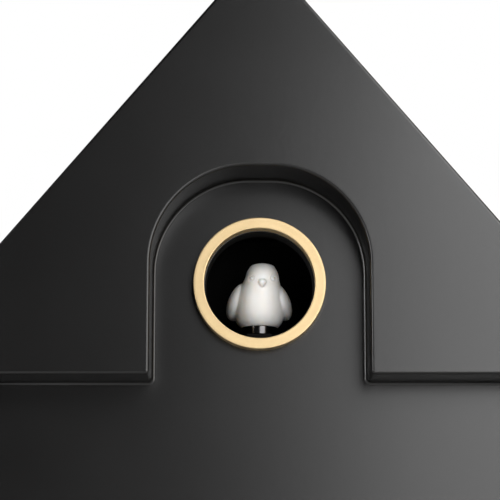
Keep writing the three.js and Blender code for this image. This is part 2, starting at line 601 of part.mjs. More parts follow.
// Motion work: cannon pinion 12 to minute wheel 36, and its pinion 12 to hour wheel 48.
function motionWork() {
  const hourBore = circle(0, DIAL_Z, 1.95, 16);
  const hourWheel = board(toothed(48, 0.4, 0, DIAL_Z, 180 / 48), ...HOUR_LAYER, [hourBore]);
  const hourPipe = tubeY(0, DIAL_Z, 1.95, 2.9, PANEL_FACE_Y - 7.4, HOUR_LAYER[1], 16);
  piece('hour_wheel', join(hourWheel, hourPipe), brass);
  const { x, z } = MINUTE_WHEEL;
  const wheel = board(toothed(36, 0.5, x, z, 180 / 36), ...MINUTE_LAYER);
  const pinion = board(toothed(12, 0.4, x, z, 0), HOUR_LAYER[0], MINUTE_LAYER[0] + 0.4);
  piece('minute_wheel', cut(join(wheel, pinion), rodY(x, z, 1.05, -20, 5, 12)), whitePlastic);
  const cannonOutline = toothed(12, 0.5, 0, DIAL_Z, 180);
  const cannonBore = circle(0, DIAL_Z, 1.65, 12);
  const cannon = board(cannonOutline, MINUTE_LAYER[0] - 0.2, MINUTE_LAYER[1] + 0.2, [cannonBore]);
  piece('cannon_pinion', cannon, brass);
}

// Centre wheel 60 on the minute arbor, driven by the third wheel's pinion 10.
function goingTrain() {
  const centreOutline = toothed(60, 0.4, 0, DIAL_Z, 180 / 60);
  const centre = board(centreOutline, ...CENTRE_LAYER, [circle(0, DIAL_Z, 1.65, 12)]);
  piece('centre_wheel', centre, whitePlastic);
  const { x, z } = THIRD_WHEEL;
  const wheel = board(toothed(45, 0.4, x, z, 0), ...THIRD_LAYER);
  const pinion = board(toothed(10, 0.4, x, z, 180), CENTRE_LAYER[0] - 0.2, THIRD_LAYER[0] + 0.4);
  piece('third_wheel', cut(join(wheel, pinion), rodY(x, z, 0.9, -20, 5, 12)), whitePlastic);
  piece('minute_arbor', rodY(0, DIAL_Z, ROD_RADIUS, PANEL_FACE_Y - 10.6, CASE_RIM_Y + 5), steel);
}

// Stepping motor: a coil on its bobbin, a bent stator plate and the rotor magnet in its hole.
function stepper() {
  const z = ROTOR.z;
  const y0 = CASE_INSIDE_Y + 3;
  const winding = rodX(y0 + 3.6, z + 0.4, 3.1, -20, -2, 16);
  const cheeks = [[-21.4, -20], [-2, -0.6]].map(([x0, x1]) => (
    block(x0, x1, y0 + 0.2, y0 + 7, z - 3, z + 3.8)
  ));
  piece('coil_bobbin', join(winding, ...cheeks), copper);
  const plateY = y0 - 1.2;
  const outline = roundedBox(-24, 22, z - 3.6, z + 5, 1, 2);
  const rotorHole = circle(ROTOR.x, z, ROTOR.radius + 0.5, 20);
  piece('stator_plate', board(outline, plateY, plateY + 1, [rotorHole]), steel);
  piece('rotor', rodY(ROTOR.x, z, ROTOR.radius, plateY - 1, plateY + 3.4, 20), greyPlastic);
}

// A knurled knob behind the movement sets the hands.
function settingKnob() {
  const y0 = CASE_RIM_Y + 2.6;
  const rim = Array.from({ length: 48 }, (_, i) => {
    const angle = i / 48 * Math.PI * 2;
    const radius = i % 2 === 0 ? 8 : 7.5;
    return [radius * Math.cos(angle), DIAL_Z + radius * Math.sin(angle)];
  });
  const knob = cut(solid(board(rim, y0, y0 + 5)), rodY(0, DIAL_Z, ROD_RADIUS + 0.15, y0 - 2, y0 + 3, 16));
  piece('setting_knob', knob, greyPlastic);
}

// A round cell lying along X: jacket, shoulder and positive cap.
function cell(name, x0, y, z) {
  const x1 = x0 + CELL_LENGTH;
  const profile = [
    [0, x0], [CELL_RADIUS, x0], [CELL_RADIUS, x1 - 2], [2.7, x1 - 1.4], [2.7, x1], [0, x1],
  ];
  piece(name, turned(profile, 0, 0, 20).rotateZ(-Math.PI / 2).translate(0, y, z), cellJacket);
}

// ---------------------------------------------------------------- hands

function handFixings() {
  const flat = 13 / 2 / Math.cos(Math.PI / 6);
  const nut = circle(0, DIAL_Z, flat, 6);
  const thread = circle(0, DIAL_Z, 4.8, 24);
  piece('fixing_nut', board(nut, PANEL_FACE_Y - 3.2, PANEL_FACE_Y - GLUE_LINE, [thread]), brass);
  const y0 = PANEL_FACE_Y - 10.8;
  const cap = [[0, y0], [3.6, y0], [3.6, y0 - 1.4], [2.4, y0 - 2.4], [0, y0 - 2.7]];
  piece('hand_cap', turned(cap, 0, DIAL_Z, 24), brass);
}

// A straight hand: a round hub, a tapered blade with a rounded tip and a short tail, turned
// clockwise from twelve by an angle in degrees.
function hand(name, length, angle, halfWidth, hubRadius, boreRadius, yFront) {
  const tail = length * 0.2;
  const spread = THREE.MathUtils.radToDeg(Math.asin(halfWidth / hubRadius));
  const tipHalf = halfWidth * 0.55;
  const outline = [
    ...arc(0, length - tipHalf, tipHalf, 0, 180, 6),
    ...arc(0, 0, hubRadius, 90 + spread, 270 - spread, 10),
    ...arc(0, -tail, halfWidth, 180, 360, 6),
    ...arc(0, 0, hubRadius, -90 + spread, 90 - spread, 10),
  ];
  const blade = board(outline, yFront, yFront + 0.9, [circle(0, 0, boreRadius, 20)]);
  piece(name, blade.rotateY(THREE.MathUtils.degToRad(angle)).translate(0, 0, DIAL_Z), brass);
}

// ---------------------------------------------------------------- power, sound and controls

function batteryBox() {
  const { x0, x1, z0, z1, depth, wall } = BATTERY_BOX;
  const rim = BACK_OUT_Y - 2.2;
  const floor = rim - depth + wall;
  const tray = block(x0, x1, floor - wall, rim, z0, z1);
  const hollow = block(x0 + wall, x1 - wall, floor, rim + 5, z0 + wall, z1 - wall);
  piece('battery_box', cut(solid(tray), hollow), blackPlastic);
  const cellX = (x0 + x1 - CELL_LENGTH) / 2;
  const cellY = floor + CELL_RADIUS + 0.4;
  const pitch = (z1 - z0 - 2 * wall) / 4;
  cell('battery_cell_1', cellX, cellY, z0 + wall + pitch);
  cell('battery_cell_2', cellX, cellY, z0 + wall + 3 * pitch);
}

// A flush door on two pivot pins at its lower edge, with a snap tongue at the top.
function batteryCover() {
  const { x0, x1, z0, z1 } = BATTERY_BOX;
  const { y, z } = COVER_HINGE;
  const middle = (x0 + x1) / 2;
  const door = block(x0 + 0.6, x1 - 0.6, BACK_OUT_Y - 1.6, BACK_OUT_Y, z0 + 0.4, z1 - 0.4);
  const pins = [[x0 - 1, x0 + 2], [x1 - 2, x1 + 1]].map(([a, b]) => rodX(y, z, 0.6, a, b, 10));
  const tongue = block(middle - 6, middle + 6, BACK_OUT_Y - 4.4, BACK_OUT_Y - 1, z1 - 3.1, z1 - 2);
  const grip = block(middle - 8, middle + 8, BACK_OUT_Y - 0.5, BACK_OUT_Y + 0.8, z1 - 5, z1 - 3.4);
  piece('battery_cover', join(door, ...pins, tongue, grip), blackPlastic);
}

function speaker() {
  const { x, z, radius } = SPEAKER;
  const face = BACK_IN_Y - GLUE_LINE;
  const basket = [
    [radius, face], [radius - 3, face], [13.6, face - 10], [6, face - 10],
    [6, face - 11.4], [14.4, face - 11.4], [radius - 1.8, face - 1.4], [radius, face - 1.4],
  ];
  piece('speaker_basket', turned(basket, x, z, 24), steel);
  piece('speaker_magnet', rodY(x, z, 12.5, face - 19, face - 11.6, 24), greyPlastic);
  const cone = [
    [0, face - 6.2], [3.6, face - 6.8], [6.6, face - 8.2], [19.4, face - 0.9],
    [19.8, face - 1.8], [6.8, face - 9.2], [3.4, face - 7.8], [0, face - 7.2],
  ];
  piece('speaker_cone', turned(cone, x, z, 20), paperCone);
}

// Circuit board on four stand-offs, with the slide switch's body and the button's base.
function controlBoard() {
  const y0 = 33;
  const y1 = y0 + 1.6;
  const sheet = block(-35, 35, y0, y1, CONTROL_Z - 20, CONTROL_Z + 20);
  const standoffs = [[-31, -16], [31, -16], [-31, 16], [31, 16]].map(([x, z]) => (
    rodY(x, CONTROL_Z + z, 2.6, y0 + 0.5, BACK_IN_Y - GLUE_LINE, 12)
  ));
  const [switchX0, switchX1] = [SLIDER_X - 9, SLIDER_X + 9];
  const switchBody = block(switchX0, switchX1, y0 + 0.5, y1 + 1.6, CONTROL_Z - 4.5, CONTROL_Z + 4.5);
  const buttonBase = block(BUTTON_X - 6, BUTTON_X + 6, y0 + 0.5, y1 + 1.6, CONTROL_Z - 6, CONTROL_Z + 6);
  const chip = block(-6, 6, y0 - 1.6, y0 + 0.5, CONTROL_Z - 4, CONTROL_Z + 4);
  piece('control_board', join(sheet, ...standoffs, switchBody, buttonBase, chip), circuitGreen);
  const keyY = y1 + 1.9;
  const stem = block(SLIDER_X - 2, SLIDER_X + 2, keyY, BACK_OUT_Y + 1, CONTROL_Z - 1.8, CONTROL_Z + 1.8);
  const tipOutline = roundedBox(SLIDER_X - 3, SLIDER_X + 3, CONTROL_Z - 2.4, CONTROL_Z + 2.4, 0.8, 2);
  piece('volume_slider', join(stem, board(tipOutline, BACK_OUT_Y, BACK_OUT_Y + 2.5)), whitePlastic);
  const cap = [
    [0, y1 + 3.6], [3, y1 + 3.6], [3, BACK_IN_Y - 2], [3.6, BACK_IN_Y - 2],
    [3.6, BACK_OUT_Y + 1.4], [3, BACK_OUT_Y + 2], [0, BACK_OUT_Y + 2],
  ];
  piece('demo_button', turned(cap, BUTTON_X, CONTROL_Z, 20), whitePlastic);
}

// ---------------------------------------------------------------- assembly

frontPanel();
pedimentPanel();
sideAndRoofBoards();
feet();
backPanel();
battens();
backPanelScrews();
keyholeHanger();
portholeRing();
chapterRing();
birdHood();
mechanismBase();
guideRods();
birdCarriage();
pinionDrive();
homeSensor();
birdOnPedestal();
movementBase();
movementCover();
motionWork();
goingTrain();
stepper();
settingKnob();
cell('movement_cell', -CELL_LENGTH / 2, CASE_FLOOR_Y + 0.8 + CELL_RADIUS + 0.1, MOVEMENT_BOTTOM + 8.8);
handFixings();
hand('hour_hand', HOUR_HAND_LENGTH, HOUR_HAND_ANGLE, 2.6, 6, 3.05, PANEL_FACE_Y - 6.4);
hand('minute_hand', MINUTE_HAND_LENGTH, MINUTE_HAND_ANGLE, 2, 5, 1.65, PANEL_FACE_Y - 9.6);
batteryBox();
batteryCover();
speaker();
controlBoard();

export default clock;
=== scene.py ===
"""A quartz cuckoo clock shaped like a plain gabled house, in satin black lacquer."""

import math

import bmesh
import bpy
import numpy as np
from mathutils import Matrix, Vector
from mathutils.geometry import tessellate_polygon


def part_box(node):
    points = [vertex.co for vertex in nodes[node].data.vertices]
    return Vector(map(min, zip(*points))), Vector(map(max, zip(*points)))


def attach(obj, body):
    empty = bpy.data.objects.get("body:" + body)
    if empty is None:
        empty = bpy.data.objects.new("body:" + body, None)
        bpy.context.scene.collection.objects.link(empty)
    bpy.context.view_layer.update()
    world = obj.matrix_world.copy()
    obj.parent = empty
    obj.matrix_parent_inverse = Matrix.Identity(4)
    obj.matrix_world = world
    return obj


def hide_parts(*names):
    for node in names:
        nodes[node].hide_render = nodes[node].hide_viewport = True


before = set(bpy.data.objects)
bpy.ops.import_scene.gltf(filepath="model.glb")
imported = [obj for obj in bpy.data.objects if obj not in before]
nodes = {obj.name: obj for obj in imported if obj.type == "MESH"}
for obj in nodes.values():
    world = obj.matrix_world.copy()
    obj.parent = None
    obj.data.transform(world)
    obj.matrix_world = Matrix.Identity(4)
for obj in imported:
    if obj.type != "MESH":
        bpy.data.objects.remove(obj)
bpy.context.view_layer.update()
MM = 0.001

# ---- camera, floor and light
# A long lens looks up at the porthole from below. The clock stands on a pale floor against white,
# lit by soft boxes at the right, a narrow one at the left, one overhead and two behind.

porthole = (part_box("porthole_ring")[0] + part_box("porthole_ring")[1]) / 2
camera = bpy.data.objects.new("camera", bpy.data.cameras.new("camera"))
bpy.context.collection.objects.link(camera)
camera.location = (-7.05 * MM, -982.2 * MM, porthole.z - 156.9 * MM)
camera.rotation_euler = (math.radians(90 + 10.307), 0, math.radians(-0.155))
camera.data.lens = 148.97
bpy.context.scene.camera = camera


def soft_box(name, azimuth, elevation, distance, size, strength, color=(1, 1, 1)):
    """A rectangular lamp on a sphere round the porthole, facing it. Azimuth 0 is the front and
    90 the right; strength is its radiance."""
    lamp = bpy.data.lights.new(name, "AREA")
    lamp.shape = "RECTANGLE"
    lamp.size, lamp.size_y = size
    lamp.energy = strength * 4 * size[0] * size[1]
    lamp.color = color
    holder = bpy.data.objects.new(name, lamp)
    bpy.context.collection.objects.link(holder)
    a, e = math.radians(azimuth), math.radians(elevation)
    out = Vector((math.sin(a) * math.cos(e), -math.cos(a) * math.cos(e), math.sin(e)))
    holder.location = porthole + out * distance
    holder.rotation_euler = out.to_track_quat("Z", "Y").to_euler()


soft_box("right_box", 19.8, 4.7, 1.8, (0.98, 0.845), 3.4)
soft_box("far_right_box", 48.5, 4.7, 1.8, (0.864, 0.845), 2.2, (1, 0.94, 0.88))
soft_box("left_strip", -43, 10, 1.6, (0.3, 0.8), 11.0)
soft_box("brow_box", 22, 25, 1.4, (0.5, 0.45), 6.5)
soft_box("top_box", 25, 80, 1.5, (1.1, 0.9), 1.6)
soft_box("back_box", 150, 35, 1.8, (1.1, 1.1), 2.2)
soft_box("back_left_box", -135, 25, 1.8, (0.9, 1.1), 1.5)

world = bpy.context.scene.world or bpy.data.worlds.new("world")
bpy.context.scene.world = world
world.use_nodes = True
sky = world.node_tree
room = sky.nodes["Background"]
room.inputs["Color"].default_value = (0.96, 0.98, 1, 1)
room.inputs["Strength"].default_value = 0.03
white = sky.nodes.new("ShaderNodeBackground")
white.inputs["Color"].default_value = (1, 1, 1, 1)
seen = sky.nodes.new("ShaderNodeLightPath")
choice = sky.nodes.new("ShaderNodeMixShader")
sky.links.new(seen.outputs["Is Camera Ray"], choice.inputs[0])
sky.links.new(room.outputs[0], choice.inputs[1])
sky.links.new(white.outputs[0], choice.inputs[2])
sky.links.new(choice.outputs[0], sky.nodes["World Output"].inputs[0])
bpy.context.scene.view_settings.view_transform = "Standard"


class Wire:
    """A socket in a node tree. Arithmetic on it adds Math nodes; node() adds any other node."""

    def __init__(self, tree, socket=None):
        self.tree = tree
        self.socket = socket

    def node(self, kind, settings=None, sockets=None, out=0):
        """Adds a node: its settings first, then its sockets' values or wires."""
        made = self.tree.nodes.new("ShaderNode" + kind)
        for key, value in (settings or {}).items():
            setattr(made, key, value)
        for key, value in (sockets or {}).items():
            if isinstance(value, Wire):
                self.tree.links.new(value.socket, made.inputs[key])
            else:
                made.inputs[key].default_value = value
        return Wire(self.tree, made.outputs[out])

    def math(self, operation, *values):
        return self.node("Math", {"operation": operation}, dict(enumerate(values)))

    def __add__(self, other):
        return self.math("ADD", self, other)

    def __mul__(self, other):
        return self.math("MULTIPLY", self, other)

    def __pow__(self, other):
        return self.math("POWER", self, other)

    __radd__ = __add__
    __rmul__ = __mul__

    def place(self, centre=(0, 0, 0), scale=(1, 1, 1)):
        """Object coordinates less a centre, stretched by scale."""
        spot = self.node("TexCoord", out="Object")
        moved = self.node("VectorMath", {"operation": "SUBTRACT"}, {0: spot, 1: centre})
        return self.node("VectorMath", {"operation": "MULTIPLY"}, {0: moved, 1: scale})

    def along(self, axis):
        """One of the Object coordinates."""
        return self.node("SeparateXYZ", None, {0: self.place()}, out=axis)

    def noise(self, per_mm, detail=2, vector=None):
        """Noise from 0 to 1, with about per_mm bumps in a millimetre."""
        spot = vector or self.place()
        return self.node("TexNoise", None, {"Vector": spot, "Scale": per_mm / MM, "Detail": detail})

    def mixed(self, low, high):
        """A colour from low, where this is 0, to high, where it is 1."""
        return self.node("Mix", {"data_type": "RGBA"}, {0: self, 6: low, 7: high}, out=2)

    def clipped(self, low, high):
        """0 where this is at or below low, 1 at or above high, smooth between."""
        return self.node("MapRange", {"interpolation_type": "SMOOTHSTEP"}, {
            "Value": self, "From Min": low, "From Max": high,
        })


def finish(name, constants, base=None, rough=None, height=None, depth=0.02, metallic=None, coat=None):
    """A named material. constants go on the shader's own sockets. base, rough, height, metallic
    and coat are functions of the material's Wire; height is in units of depth millimetres."""
    made = bpy.data.materials.new(name)
    made.use_nodes = True
    tree = made.node_tree
    shader = tree.nodes["Principled BSDF"]
    for key, value in constants.items():
        shader.inputs[key].default_value = value
    start = Wire(tree)
    joined = {"Base Color": base, "Roughness": rough, "Metallic": metallic, "Coat Weight": coat}
    for key, recipe in joined.items():
        if recipe:
            tree.links.new(recipe(start).socket, shader.inputs[key])
    if height:
        bump = start.node("Bump", None, {"Height": height(start), "Distance": depth * MM, "Strength": 1})
        tree.links.new(bump.socket, shader.inputs["Normal"])
    return made


floor = bpy.data.meshes.new("floor")
floor.from_pydata([(-4, -4, 0), (4, -4, 0), (4, 4, 0), (-4, 4, 0)], [], [(0, 1, 2, 3)])
pale = finish(
    "pale_floor", {"Roughness": 0.75},
    base=lambda w: w.noise(0.02, 3).mixed((0.80, 0.80, 0.79, 1), (0.84, 0.84, 0.83, 1)),
    height=lambda w: w.noise(0.6, 2), depth=0.05,
)
# Away from the clock the floor fades into the white round it.
ground = Wire(pale.node_tree)
far = ground.node("VectorMath", {"operation": "LENGTH"}, {0: ground.place()}, out=1).clipped(0.35, 1.5)
glow = ground.node("Emission", None, {"Color": (1, 1, 1, 1)})
lit = Wire(pale.node_tree, pale.node_tree.nodes["Principled BSDF"].outputs[0])
faded = ground.node("MixShader", None, {0: far * ground.node("LightPath"), 1: lit, 2: glow})
pale.node_tree.links.new(faded.socket, pale.node_tree.nodes["Material Output"].inputs[0])
floor.materials.append(pale)
floor_piece = bpy.data.objects.new("floor", floor)
bpy.context.collection.objects.link(floor_piece)

# ---- lacquered front and pediment
# Two boards of fine fibreboard, sprayed satin black. The pediment is glued on the front, its edges
# are rounded by a router and the lacquer pools into a small cove where it meets the front.

def rounded(corners, radii, steps=6, hold=0.5):
    """A closed outline in mm: each corner is rounded by an arc of its radius that touches both
    sides, with one more point a little way along each side to hold the shading flat."""
    points = []
    corners = np.asarray(corners, float)
    for i, corner in enumerate(corners):
        radius = radii[i] if np.ndim(radii) else radii
        back = corners[i - 1] - corner
        ahead = corners[(i + 1) % len(corners)] - corner
        back, ahead = back / np.hypot(*back), ahead / np.hypot(*ahead)
        half = math.acos(np.clip(back @ ahead, -1, 1)) / 2
        reach = radius / math.tan(half)
        middle = corner + (back + ahead) / np.hypot(*(back + ahead)) * radius / math.sin(half)
        first, last = corner + back * reach, corner + ahead * reach
        a0 = math.atan2(*(first - middle)[::-1])
        turn = math.atan2(*(last - middle)[::-1]) - a0
        turn = (turn + math.pi) % (2 * math.pi) - math.pi
        angles = a0 + turn * np.linspace(0, 1, steps + 1)
        arc = middle + radius * np.stack([np.cos(angles), np.sin(angles)], -1)
        points.append(np.vstack([first + back * hold, arc, last + ahead * hold]))
    return np.vstack(points)


def circle(x, z, radius, steps=96):
    """Points round a circle, counterclockwise as seen from the front."""
    angles = np.linspace(0, 2 * math.pi, steps, endpoint=False)
    return np.stack([x + radius * np.cos(angles), z + radius * np.sin(angles)], -1)


def inset(outline, distance):
    """The outline moved into its left side by a distance: each point goes along the bisector of
    its two edges' normals, further where they meet at an angle."""
    ahead = np.roll(outline, -1, 0) - outline
    normals = np.stack([-ahead[:, 1], ahead[:, 0]], -1)
    normals /= np.maximum(np.hypot(*normals.T), 1e-9)[:, None]
    both = normals + np.roll(normals, 1, 0)
    return outline + both * (distance * 2 / np.maximum((both ** 2).sum(1), 0.4))[:, None]


def grid(points, ends=(False, False)):
    """Corners and faces of a surface given as rows of points. Each row's ends are joined, and ends
    closes the first and the last row with one face."""
    rows, count = points.shape[:2]
    index = np.arange(rows * count).reshape(rows, count)
    loop = np.hstack([index, index[:, :1]])
    quads = np.stack([loop[:-1, :-1], loop[:-1, 1:], loop[1:, 1:], loop[1:, :-1]], -1)
    faces = quads.reshape(-1, 4).tolist()
    if ends[0]:
        faces.append(index[0, ::-1].tolist())
    if ends[1]:
        faces.append(index[-1].tolist())
    return points.reshape(-1, 3), faces


SAME_PLACE = 0.002 * MM


def piece(name, bodies, material, body, replaces=None):
    """One object from closed bodies of corners in mm and faces. Doubles are merged, faces turned
    outward and shaded smooth. It rides on a CAD body and may replace a CAD node."""
    corners, faces, start = [], [], 0
    for body_corners, body_faces in bodies:
        corners.append(body_corners)
        faces += [[v + start for v in face] for face in body_faces]
        start += len(body_corners)
    mesh = bpy.data.meshes.new(name)
    mesh.from_pydata((np.vstack(corners) * MM).tolist(), [], faces)
    shape = bmesh.new()
    shape.from_mesh(mesh)
    bmesh.ops.remove_doubles(shape, verts=shape.verts, dist=SAME_PLACE)
    flat = [f for f in shape.faces if len(f.verts) == 3]
    inner = [
        e for e in shape.edges
        if len(e.link_faces) == 2 and all(len(f.verts) == 3 for f in e.link_faces)
    ]
    bmesh.ops.beautify_fill(shape, faces=flat, edges=inner, method="AREA")
    bmesh.ops.recalc_face_normals(shape, faces=shape.faces)
    shape.to_mesh(mesh)
    shape.free()
    mesh.shade_smooth()
    mesh.materials.append(material)
    made = bpy.data.objects.new(name, mesh)
    bpy.context.collection.objects.link(made)
    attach(made, body)
    if replaces:
        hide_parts(replaces)
    return made


def board(outline, y_front, y_back, holes=(), front=1.0, back=0.5, steps=5, hold=0.5):
    """A flat board in mm: an outline (counterclockwise from the front) and holes (clockwise), with
    the front and back edges rounded. Rings of the outline follow a quarter circle in from each
    face, with one more at hold inside it, and each face is filled between its rings."""
    turn = np.linspace(0, math.pi / 2, steps + 1)
    rows = [(front + hold, y_front), *zip(front * (1 - np.sin(turn)), y_front + front * (1 - np.cos(turn)))]
    rows += [(0, y_front + front + 0.8 * hold), (0, y_back - back - 0.8 * hold)]
    rows += [*zip(back * (1 - np.cos(turn)), y_back - back * (1 - np.sin(turn))), (back + hold, y_back)]
    corners, faces, start, rims = [], [], 0, []
    for ring in (outline, *holes):
        rings = [inset(ring, d) for d, _ in rows]
        points = np.stack([
            np.stack([r[:, 0], np.full(len(r), y), r[:, 1]], -1) for r, (_, y) in zip(rings, rows)
        ])
        ring_corners, ring_faces = grid(points)
        corners.append(ring_corners)
        faces += [[v + start for v in face] for face in ring_faces]
        count = len(ring)
        rims.append((np.arange(count) + start, np.arange(count) + start + count * (len(rows) - 1)))
        start += len(ring_corners)
    everything = np.vstack(corners)
    for side in (0, 1):
        flat = np.concatenate([rim[side] for rim in rims])
        loops = [[Vector((*everything[i, ::2], 0)) for i in rim[side]] for rim in rims]
        faces += [[int(flat[i]) for i in face] for face in tessellate_polygon(loops)]
    return everything, faces


def extent(node):
    """A CAD node's lowest and highest corners in mm."""
    return [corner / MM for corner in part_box(node)]


lacquer = finish(
    "satin_black_lacquer", {"IOR": 1.52, "Specular IOR Level": 0.5},
    base=lambda w: w.noise(0.012, 3).mixed((0.0014, 0.0013, 0.0013, 1), (0.0026, 0.0024, 0.0024, 1)),
    rough=lambda w: 0.212 + 0.04 * w.noise(0.02, 4) + 0.04 * w.noise(2.6, 1),
    height=lambda w: w.noise(0.55, 2) + 0.35 * w.noise(2.4, 1), depth=0.016,
)

ROOF_PITCH = math.radians(49.8)
ARCH_HALF_WIDTH = 50
ARCH_ABOVE_PORTHOLE = 50.5
ARCH_CORNER_RADIUS = 45
ARCH_STEPS = 24
front_low, front_high = extent("front_panel")
pediment_low, pediment_high = extent("pediment_panel")
porthole_z = porthole.z / MM
half_width = front_high.x
apex_z = front_high.z
eaves_z = apex_z - half_width * math.tan(ROOF_PITCH)
house = rounded(
    [(-half_width, front_low.z), (half_width, front_low.z), (half_width, eaves_z),
     (0, apex_z), (-half_width, eaves_z)], 1.2,
)
PORTHOLE_RADIUS = 25.1
SHAFT_HOLE_RADIUS = 5
dial_z = sum(extent("chapter_ring"), Vector()).z / 2
holes = [circle(0, porthole_z, PORTHOLE_RADIUS)[::-1], circle(0, dial_z, SHAFT_HOLE_RADIUS, 32)[::-1]]
front = piece("front_board", [board(house, front_low.y, front_high.y, holes, front=0.8, hold=0.3)],
              lacquer, "case", "front_panel")
# The wall of the porthole's hole is brushed dull black, so that it doesn't shine inside the ring: painted
# shade, so it reads as dark as the shadow in the porthole.
painted_shade_black = finish(
    "painted_shade_dull_paint", {"IOR": 1.4, "Specular IOR Level": 0.15},
    base=lambda w: w.noise(0.4, 3).mixed((0.0030, 0.0030, 0.0030, 1), (0.0065, 0.0062, 0.0062, 1)),
    rough=lambda w: 0.66 + 0.16 * w.noise(1.2, 3), height=lambda w: w.noise(3, 3), depth=0.02,
)
front.data.materials.append(painted_shade_black)
centres = np.empty(len(front.data.polygons) * 3)
front.data.polygons.foreach_get("center", centres)
x, y, z = (centres.reshape(-1, 3) / MM).T
# Faces of the hole's wall, which take the dull black of painted shade.
shaded_hole_wall = (np.hypot(x, z - porthole_z) < PORTHOLE_RADIUS + 0.9) & (y > front_low.y + 0.05)
front.data.polygons.foreach_set("material_index", shaded_hole_wall.astype(np.int32))

arch_top = porthole_z + ARCH_ABOVE_PORTHOLE
arch = [(ARCH_HALF_WIDTH, arch_top), (-ARCH_HALF_WIDTH, arch_top)]
pediment = rounded(
    [(-half_width, pediment_low.z), (-ARCH_HALF_WIDTH, pediment_low.z), arch[1], arch[0],
     (ARCH_HALF_WIDTH, pediment_low.z), (half_width, pediment_low.z), (half_width, eaves_z),
     (0, apex_z), (-half_width, eaves_z)],
    [1.6, 1.6, ARCH_CORNER_RADIUS, ARCH_CORNER_RADIUS, 1.6, 1.6, 1.6, 1.6, 1.6], ARCH_STEPS,
)
per_corner = ARCH_STEPS + 3
piece("pediment_board", [board(pediment, pediment_low.y, pediment_high.y, front=1.1, back=0.2, hold=0.4)],
      lacquer, "case", "pediment_panel")

COVE, SUNK = 1.5, 0.3
# The strip's section: a hollow quarter circle from the pediment's edge down to the front board,
# whose back corner is sunk into both. It follows the pediment's lower edges and the arch.
sweep = np.linspace(0, math.pi / 2, 9)
section = [*zip(COVE * (1 - np.cos(sweep)), front_low.y - COVE * (1 - np.sin(sweep)))]
section.append((-SUNK, front_low.y + SUNK))
strip = np.stack([
    np.stack([r[:, 0], np.full(len(r), y), r[:, 1]], -1)
    for r, y in ((inset(pediment, -d), y) for d, y in section)
], 1)[per_corner - 1:per_corner * 5 + 1]
strip[..., 0] = np.clip(strip[..., 0], -half_width, half_width)
piece("lacquer_cove", [grid(strip, ends=(True, True))], lacquer, "case")

# ---- porthole ring
# A turned brass ring pressed over the porthole's edge. Its face is satin from fine turning marks,
# a shade lower towards the hole, and its edges are broken.

ALONG_X, ALONG_Z = (1, 0, 2), (0, 2, 1)
SHARP = 0.0001


def lathe(profile, x, z, steps=128, axis=(0, 1, 2)):
    """A turned body in mm: a closed profile of (radius, y) points carried round an axis along Y,
    whose coordinates are then swapped for an axis along X or Z."""
    profile = np.asarray(profile, float)
    angles = np.linspace(0, 2 * math.pi, steps, endpoint=False)
    radius, y = profile[:, :1], profile[:, 1:]
    points = np.stack([
        x + radius * np.cos(angles), np.broadcast_to(y, (len(profile), steps)), z + radius * np.sin(angles),
    ], -1)
    return grid(np.concatenate([points, points[:1]])[..., list(axis)])


def eased(profile, radii, hold=0.12):
    """A turned profile with its corners rounded, and points beside them that hold the faces flat.
    radii has one value for each corner off the axis; those on it stay sharp."""
    given = iter(radii)
    every = [SHARP if distance == 0 else next(given) for distance, _ in profile]
    return rounded(profile, every, 4, hold)


def turned_metal(name, light, dark, centre, rough=0.3, marks=9, depth=0.004, metal=1.0):
    """Satin metal off the lathe: fine rings round an axis along Y, faint patches of tarnish, and
    roughness that follows both."""
    def rings(w):
        spot = w.place(centre)
        axes = [w.node("SeparateXYZ", None, {0: spot}, out=k) for k in range(3)]
        radius = (axes[0] * axes[0] + axes[2] * axes[2]) ** 0.5
        angle = w.math("ARCTAN2", axes[2], axes[0])
        along = w.node("CombineXYZ", None, {
            0: radius * (marks / MM), 1: angle * 2.5, 2: axes[1] * (2 / MM),
        })
        return w.node("TexNoise", None, {"Vector": along, "Scale": 1.0, "Detail": 3})
    return finish(
        name, {"Metallic": metal},
        base=lambda w: (0.6 * w.noise(0.09, 4) + 0.4 * w.noise(0.9, 3)).mixed(dark, light),
        rough=lambda w: rough - 0.08 + 0.1 * rings(w) + 0.06 * w.noise(0.12, 3),
        height=lambda w: rings(w) + 0.5 * w.noise(7, 2), depth=depth,
    )


ring_low, ring_high = extent("porthole_ring")
ring_outer = ring_high.x
RING_INNER = 25.8
face, seat = ring_low.y, ring_high.y
ring_profile = eased([
    (RING_INNER, seat), (RING_INNER, face + 0.03), (RING_INNER + 1.9, face + 0.03),
    (ring_outer - 1.2, face), (ring_outer, face), (ring_outer, seat),
], [0.15, 0.4, 1.2, 0.6, 0.45, 0.15])
ring_brass = turned_metal(
    "satin_brass_ring", (0.68, 0.525, 0.305, 1), (0.56, 0.405, 0.205, 1), porthole, rough=0.38, metal=0.88)
piece("brass_porthole_ring", [lathe(ring_profile, 0, porthole_z, 192)],
      ring_brass, "case", "porthole_ring")

# ---- bird
# A small moulded bird in satin white resin: round body, folded wings, ring eyes pressed into the
# mould, a short blunt beak and a stub tail. It is glued on a short black turned drum.

def through(t, knots, values):
    """A smooth curve through the values at the knots: cubic pieces whose slope at a knot is that
    of the chord between its neighbours."""
    knots, values = np.asarray(knots, float), np.asarray(values, float)
    slope = np.gradient(values, knots)
    k = np.clip(np.searchsorted(knots, t) - 1, 0, len(knots) - 2)
    width = knots[k + 1] - knots[k]
    s = (t - knots[k]) / width
    a, b = values[k], values[k + 1]
    return ((1 + 2 * s) * (1 - s) ** 2 * a + s * (1 - s) ** 2 * width * slope[k]
            + s * s * (3 - 2 * s) * b + s * s * (s - 1) * width * slope[k + 1])


